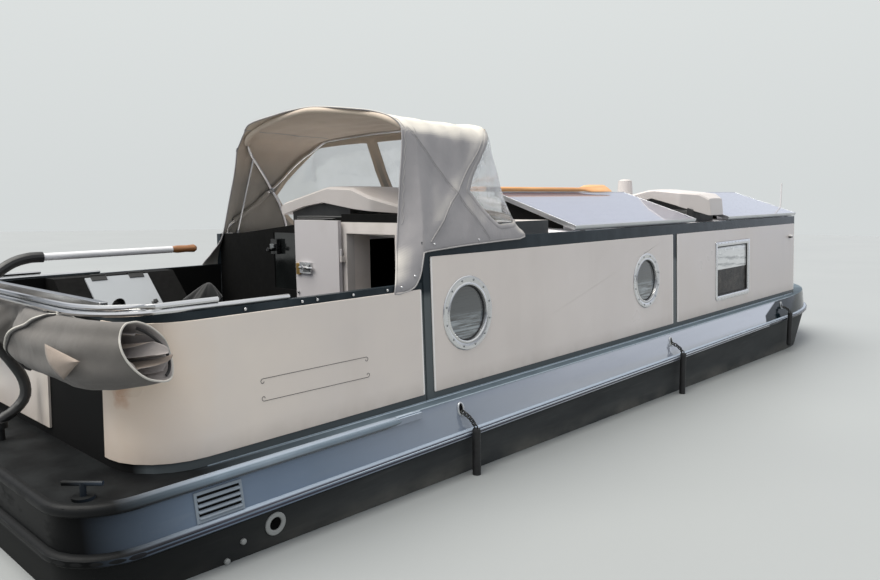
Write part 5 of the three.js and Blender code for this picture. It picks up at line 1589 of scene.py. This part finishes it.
# Rear cover: canvas rolled up below its hoops round the stern, thin at the tiller's neck.
# A section is (x, y, half width, lowest z, turn in degrees).
COVER_TOP = 0.692
COVER_SECTIONS = [
    (0.262, 0.0, 0.034, 0.560, 0), (0.258, -0.170, 0.036, 0.540, 0), (0.212, -0.330, 0.092, 0.420, 0),
    (0.205, -0.700, 0.098, 0.405, 0), (0.214, -0.960, 0.098, 0.395, 12), (0.300, -1.150, 0.092, 0.396, 45),
    (0.415, -1.222, 0.076, 0.430, 72), (0.470, -1.200, 0.060, 0.455, 84),
]
COVER_STEPS = 240
COVER_AROUND = 72
# How far the open ends are cut back in metres: the middle, the swing either way, and where round the section
# the cut is deepest. Angles round the section are in radians from inboard over the top.
MOUTH = {"middle": 0.122, "swing": 0.116, "deepest": 2.55}
WRAP = {"middle": 0.52, "swing": 0.27, "deepest": 0.75}
# What lies crumpled in the open end: a line of folds in shares of the section's half width and height
CRUMPLED = [(0.82, 0.80), (0.30, 0.62), (-0.45, 0.72), (-0.70, 0.35), (-0.10, 0.20), (0.52, 0.30),
            (0.30, -0.10), (-0.35, -0.05), (-0.55, -0.40), (0.05, -0.45), (0.55, -0.30), (0.50, -0.85)]
# A corner of the cover stands out from the roll: its top, its tip and its foot
COVER_CORNER = [(0.104, -0.790, 0.588), (0.132, -1.072, 0.548), (0.122, -0.915, 0.452)]


def slant_cut(cut, angle):
    return cut["middle"] + cut["swing"] * cos(angle - cut["deepest"])


def pushed_out(x, y, z, gap):
    """The same place, moved outboard until it is clear of the cladding round the stern."""
    lean = LEAN * z
    half, radius = CABIN_HALF - lean + CLAD, STERN_RADIUS - lean + CLAD
    centre = Vector((TRANSOM_X + lean - CLAD + radius, copysign(half - radius, y)))
    if z > 0.70:
        return x, y
    if x >= centre.x:
        return x, copysign(max(abs(y), half + gap), y)
    if abs(y) <= half - radius:
        return min(x, centre.x - radius - gap), y
    away = Vector((x, y)) - centre
    if away.length >= radius + gap:
        return x, y
    away = away.normalized() * (radius + gap)
    return centre.x + away.x, centre.y + away.y


class CoverPath:
    """The roll's middle line from its starboard end to its port end, with its section at each place."""

    def __init__(self):
        port = [(x, -y, half, low, -turn) for x, y, half, low, turn in COVER_SECTIONS[1:]]
        sections = COVER_SECTIONS[::-1] + port
        self.line = smooth_line([(x, y, 0) for x, y, *_ in sections], COVER_STEPS)
        self.facts = smooth_line([(half, low, radians(turn)) for _, _, half, low, turn in sections],
                                 COVER_STEPS)
        self.marks = [0.0]
        for a, b in zip(self.line, self.line[1:]):
            self.marks.append(self.marks[-1] + (b - a).length)
        self.length = self.marks[-1]

    def at_distance(self, metres):
        k = min(max(bisect.bisect(self.marks, metres) - 1, 0), len(self.marks) - 2)
        share = clamped((metres - self.marks[k]) / (self.marks[k + 1] - self.marks[k]))
        return self.line[k].lerp(self.line[k + 1], share), self.facts[k].lerp(self.facts[k + 1], share)

    def place(self, metres, angle, grow=0.0, inner=1.0):
        """A point of the skin: metres from the starboard end, and the angle from inboard over the top."""
        centre, facts = self.at_distance(metres)
        half, low, turn = facts
        fold = cover_fold(angle, metres)
        out = (half - 0.006 + grow) * cos(angle) * fold * inner
        middle, tall = (low + COVER_TOP) / 2, (COVER_TOP - low) / 2 - 0.004 + min(grow, 0.0)
        z = middle + (tall + max(grow, 0.0) * 0.3) * sin(angle) * (0.5 + 0.5 * fold) * inner
        z = min(z, COVER_TOP - 0.003)
        x, y = pushed_out(centre.x + out * cos(turn), centre.y + out * sin(turn), z, 0.004)
        return at(x, y, z)


def cover_fold(angle, metres):
    """Folds that run along the roll: soft valleys on its outer side that wander, and fade towards the end."""
    wander = 0.35 * sin(metres * 3.1) + 0.2 * sin(metres * 7.9 + 1.3)
    deep = 0.0
    for place, depth, width in ((2.30, 0.15, 0.26), (3.15, 0.10, 0.30), (4.10, 0.14, 0.26)):
        offset = angle - place - wander * 0.5
        distance = atan2(sin(offset), cos(offset))
        deep += depth * exp(-(distance / width) ** 2)
    end = min(1.0, 0.25 + metres / 0.55)
    ripple = 0.010 * sin(metres * 47 + angle * 3) + 0.008 * sin(metres * 21 - angle * 5)
    return 1.0 - deep * end + ripple


def add_crumpled(form, path):
    """The folds inside the roll's open end."""
    line = evenly(smooth_line([(u, v, 0) for u, v in CRUMPLED], 120), 96)
    rings = []
    for i in range(25):
        t = i / 24
        ring = []
        for k, p in enumerate(line):
            reach, angle = hypot(p.x, p.y), atan2(p.y, p.x) % (2 * pi)
            wave = 1 + 0.10 * sin(5 * t + k * 0.21) * t
            edge = slant_cut(MOUTH, angle) + 0.034 + 0.022 * sin(k * 0.35)
            ring.append(path.place(edge + 0.26 * t, angle, -0.004, min(reach * wave, 0.84)))
        rings.append(ring)
    form.rings(rings, 1, caps=False, closed=False)


def add_corner(form):
    """The corner that stands out, a sheet that sags between its edges."""
    top, tip, low = (at(*p) for p in COVER_CORNER)
    steps = 10
    rows = []
    for i in range(steps + 1):
        a, b = top.lerp(tip, i / steps), low.lerp(tip, i / steps)
        slack = 0.022 * (1 - i / steps * 0.6)
        rows.append([a.lerp(b, k / steps) - FORWARD * slack * sin(pi * k / steps)
                     for k in range(steps + 1)])
    form.rings(rows, 2, caps=False, closed=False)


def make_rear_cover():
    """Two layers of the roll with what lies in its open end, and the piping along their edges."""
    path = CoverPath()
    form = Form()
    angles = angles_round(COVER_AROUND)

    def layer(start, end, grow, steps):
        """A layer between two distances, each a function of the angle."""
        rings = []
        for i in range(steps + 1):
            t = i / steps
            rings.append([path.place(start(a) + (end(a) - start(a)) * t, a, grow(t, a)) for a in angles])
        form.rings(rings, 0, caps=False)
        return rings

    def mouth(a):
        return slant_cut(MOUTH, a)

    def wrap_end(a):
        return path.length / 2 - slant_cut(WRAP, a)

    def flare(t, a):
        lifted = max(0.0, t - 0.75) / 0.25
        return 0.010 + 0.026 * lifted ** 2 * max(0.0, -cos(a))

    outer = layer(mouth, wrap_end, flare, 90)
    under = layer(lambda a: 0.45, lambda a: path.length - mouth(a), lambda t, a: -0.004, 130)
    add_crumpled(form, path)
    add_corner(form)
    cover = piece("rear_cover_roll", form, [COVER_CANVAS, COVER_INSIDE, COVER_CORNER_CANVAS],
                  angle=70, replaces=["rear_cover"])
    make_cloth(cover, 2.4, 0.1, 2, 0.0025, lining=1, held="folded",
               rests_on=["cover_hoop_long", "cover_hoop_short"])

    trim = Form()
    trim.round_tube(outer[0], 0.0045, 8, 0)
    trim.round_tube(outer[-1], 0.0055, 8, 0)
    inboard = [a for a in angles if a > 4.9] + [a for a in angles if a < 1.15]
    trim.tube([path.place(mouth(a) + 0.030, a, -0.014) for a in inboard], 0.0065, 8, 1)
    trim.tube([path.place(wrap_end(a) - 0.030, a, 0.030) for a in angles if 1.7 < a < 4.6], 0.0060, 8, 1)
    trim.round_tube(under[-1], 0.0045, 8, 0)
    piece("rear_cover_trim", trim, [PIPING, DARK_PIPING], angle=60)


# Cockpit: fittings on the console and its flap, a horn, a cloth cap over the hinge of the cover's hoops.
# The flap's edges are (y, z) places.
FLAP_TOP = (0.9035, 0.6960)
FLAP_FOOT = (0.6520, 0.4560)
HORN = (1.075, 0.625, 0.490)


def on_flap(x, share, lift):
    """A place on the console's white flap, by its share of the way from its foot to its top."""
    (y1, z1), (y0, z0) = FLAP_TOP, FLAP_FOOT
    up = Vector((0, z0 - z1, y1 - y0)).normalized()
    return at(x, y0 + (y1 - y0) * share, z0 + (z1 - z0) * share) + up * lift


def make_flap_fittings():
    """Two hinges and a knob."""
    form = Form()
    for xs in ((0.975, 1.075), (1.225, 1.325)):
        section = [(0.86, 0.002), (0.975, 0.002), (0.975, 0.009), (0.86, 0.007)]
        form.rings([[on_flap(x, share, lift) for share, lift in section] for x in xs])
        form.tube([on_flap(x, 0.985, 0.006) for x in xs], 0.008, 12, 0)
    knob = on_flap(1.305, 0.17, 0.0)
    form.lathe([(0.024, 0.001), (0.024, 0.006), (0.012, 0.010), (0.012, 0.020), (0.018, 0.024),
                (0.018, 0.032), (0.002, 0.035)], knob, on_flap(1.305, 0.17, 1.0) - knob, 4, 0)
    piece("console_flap_fittings", form, [BLACK], body="console_flap", bevel=0.001, angle=40)


def make_horn():
    """A trumpet on a stem and a bracket."""
    form = Form()
    horn = at(*HORN)
    form.lathe([(0.012, -0.060), (0.014, -0.030), (0.020, 0.000), (0.032, 0.040), (0.046, 0.072),
                (0.048, 0.076), (0.044, 0.076), (0.030, 0.042), (0.016, 0.010), (0.002, 0.008)],
               horn, (-0.75, -0.45, 0.45), 28, 0)
    form.box((1.05, 1.11), (0.615, 0.6398), (0.42, 0.46))
    form.tube([at(1.08, 0.628, 0.455), horn], 0.009, 12, 0)
    piece("cockpit_horn", form, [GLOSS_BLACK], angle=40)


def make_hinge_cap():
    """A cloth cone with a wavy, folded skirt."""
    form = Form()
    rows = 10
    peak, base = at(0.742, -1.000, 0.800), at(0.722, -0.985, 0.722)
    rings = []
    for i in range(rows + 1):
        t = i / rows
        ring = []
        for a in angles_round(48):
            folds = 1 + 0.16 * t * sin(5 * a + 0.6) + 0.06 * sin(11 * a)
            radius = (0.006 + 0.080 * t ** 0.75) * folds
            ring.append(peak.lerp(base, t) + Vector((radius * cos(a), radius * 0.62 * sin(a),
                                                     0.010 * t * sin(3 * a))))
        rings.append(ring)
    form.rings(rings, caps=False)
    cap = piece("hinge_cap_cloth", form, [BLACK_CLOTH], angle=70)
    make_cloth(cap, 0.20, 0.02, 3, 0.002, held="draped", rests_on=["cover_hoop_short"])


# Companionway: the door's lock, and on the bulkhead a lock case, the pale inner reveal and a latch
DOOR_FACE = 1.977 - SEAT
WALL_FACE = BULKHEAD_X - SEAT
AFTWARD = Vector((-1, 0, 0))


def make_door_lock():
    """A lock case with its cover, bar and knob, a brass catch beside it and a stud below."""
    form = Form()
    x, bar = DOOR_FACE, DOOR_FACE - 0.018
    form.box((x - 0.014, x), (-0.150, -0.030), (0.690, 0.765), 0)
    form.box((x - 0.020, x - 0.014), (-0.140, -0.075), (0.702, 0.752), 1)
    form.tube([at(bar, y, 0.728) for y in (-0.175, -0.035)], 0.0085, 14, 0)
    form.lathe([(0.011, 0.0), (0.011, 0.012), (0.015, 0.018), (0.015, 0.026), (0.002, 0.028)],
               at(bar, -0.100, 0.730), AFTWARD, 20, 0)
    form.box((x - 0.012, x), (-0.030, 0.010), (0.680, 0.755), 2)
    form.lathe([(0.008, 0.0), (0.008, 0.010), (0.003, 0.012)], at(x, 0.000, 0.560), AFTWARD, 14, 1)
    piece("aft_door_lock", form, [STEEL, DULL_STEEL, BRASS], body="aft_door", bevel=0.0012,
          angle=40)


def make_companionway_fittings():
    """The lock case with its staple and knob, the reveal, and the brass latch."""
    form = Form()
    x, front = WALL_FACE, WALL_FACE - 0.030
    form.box((front, x), (0.272, 0.345), (0.800, 0.905), 0)
    form.box((x - 0.048, front), (0.285, 0.330), (0.842, 0.872), 1)
    form.lathe([(0.010, 0.0), (0.010, 0.035), (0.016, 0.040), (0.016, 0.052), (0.002, 0.055)],
               at(front, 0.309, 0.832), AFTWARD, 18, 0)
    form.box((2.0805, 2.215), (-0.4525, -0.4405), (0.070, 0.950), 2)
    form.box((2.0805, 2.110), (-0.910, -0.893), (0.690, 0.760), 3)
    piece("companionway_fittings", form, [GLOSS_BLACK, DULL_STEEL, REVEAL, BRASS],
          bevel=0.0015, angle=40)


# Camera, light and floor
CAMERA = {"place": (-5.824, -4.041, 2.157), "turn": (83.1064, 0.6629, -47.2104), "lens": 30.236}
FLOOR_HALF = 60.0
# Sine of the height above the horizon, and the light from there: towards the stern's side, towards the bow,
# and as the camera sees it
SKY_AFT = [(0.0, (0.14, 0.15, 0.17)), (0.12, (0.26, 0.28, 0.31)), (0.25, (0.56, 0.59, 0.65)),
           (0.5, (0.80, 0.83, 0.87)), (1.0, (1.10, 1.10, 1.08))]
SKY_BOW = [(0.0, (0.90, 0.96, 1.08)), (0.12, (0.82, 0.87, 0.97)), (0.25, (0.72, 0.76, 0.84)),
           (0.5, (0.80, 0.83, 0.87)), (1.0, (1.10, 1.10, 1.08))]
SKY_SEEN = [(0.0, (0.66, 0.69, 0.69)), (0.5, (0.78, 0.81, 0.80)), (1.0, (0.82, 0.85, 0.85))]
KEY = {"energy": 4.6, "colour": (1.0, 0.97, 0.91), "angle": 55, "from": (-0.34, 0.26, 0.90)}


def linked(name, data):
    thing = bpy.data.objects.new(name, data)
    bpy.context.collection.objects.link(thing)
    return thing


def make_camera():
    data = bpy.data.cameras.new("Camera")
    data.lens = CAMERA["lens"]
    data.sensor_width = 36
    data.clip_end = 200
    camera = linked("Camera", data)
    camera.location = CAMERA["place"]
    camera.rotation_euler = Euler([radians(a) for a in CAMERA["turn"]], "XYZ")
    bpy.context.scene.camera = camera


def make_stage():
    """The floor at the waterline."""
    finish = Finish("Pale floor", Roughness=0.55)
    paint = finish.wire(finish.layers((138, 141, 142), (finish.noise(0.35, 2), (146, 149, 149))))
    far, height, slope = FLOOR_HALF, WATERLINE["height"], WATERLINE["slope"]
    corners = [(-far, -far), (far, -far), (far, far), (-far, far)]
    mesh = bpy.data.meshes.new("floor")
    mesh.from_pydata([(x, y, height + slope * x) for x, y in corners], [], [(0, 1, 2, 3)])
    mesh.materials.append(paint)
    linked("floor", mesh)


def make_sky():
    """A soft studio sky, brightest overhead; its mirror image is dark near the floor, plain to the camera."""
    world = bpy.data.worlds.new("Soft sky")
    bpy.context.scene.world = world
    sky = Nodes(world)
    toward = sky.node("ShaderNodeTexCoord").outputs["Generated"]
    way = sky.node("ShaderNodeSeparateXYZ", {0: toward}).outputs

    def ramp(stops):
        made = sky.node("ShaderNodeValToRGB", {"Fac": way["Z"]})
        while len(made.color_ramp.elements) < len(stops):
            made.color_ramp.elements.new(0.5)
        for element, (position, colour) in zip(made.color_ramp.elements, stops):
            element.position = position
            element.color = (*colour, 1.0)
        return made.outputs["Color"]

    lit = sky.mixed_colour(sky.ranged(way["X"], 0.62, 0.92), ramp(SKY_AFT), ramp(SKY_BOW))
    to_camera = sky.node("ShaderNodeLightPath").outputs["Is Camera Ray"]
    background = sky.tree.nodes["Background"]
    background.inputs["Strength"].default_value = 1.0
    sky.tree.links.new(sky.mixed_colour(to_camera, lit, ramp(SKY_SEEN)), background.inputs["Color"])


def make_key_light():
    sun = bpy.data.lights.new("Soft key", "SUN")
    sun.energy = KEY["energy"]
    sun.color = KEY["colour"]
    sun.angle = radians(KEY["angle"])
    linked("Soft key", sun).rotation_euler = Vector(KEY["from"]).to_track_quat("Z", "Y").to_euler()


def main():
    make_camera()
    make_stage()
    make_sky()
    make_key_light()
    bpy.context.scene.view_settings.view_transform = "Standard"
    bpy.context.scene.view_settings.look = "None"
    dress_nodes()
    make_rubbing_bars()
    for side in SIDES:
        make_hull_fittings(side)
        for number, x in enumerate(PORTHOLES_X, 1):
            make_porthole(side, number, x)
        make_window(side)
        for place, sizes in FENDERS.items():
            make_fender(side, place, sizes)
    for place, (x0, x1) in SOLAR_PANELS.items():
        make_solar_panel(place, x0, x1)
    for place, sizes in AIR_CONDITIONERS.items():
        make_air_conditioner(place, sizes)
    make_oar()
    skin = HoodSkin(hood_surface())
    make_hoops(skin)
    make_sleeves(skin)
    make_sprayhood(skin)
    make_hood_trim(skin)
    make_rear_cover()
    make_flap_fittings()
    make_horn()
    make_hinge_cap()
    make_door_lock()
    make_companionway_fittings()
    for side in SIDES:
        make_side_trim(side)


main()
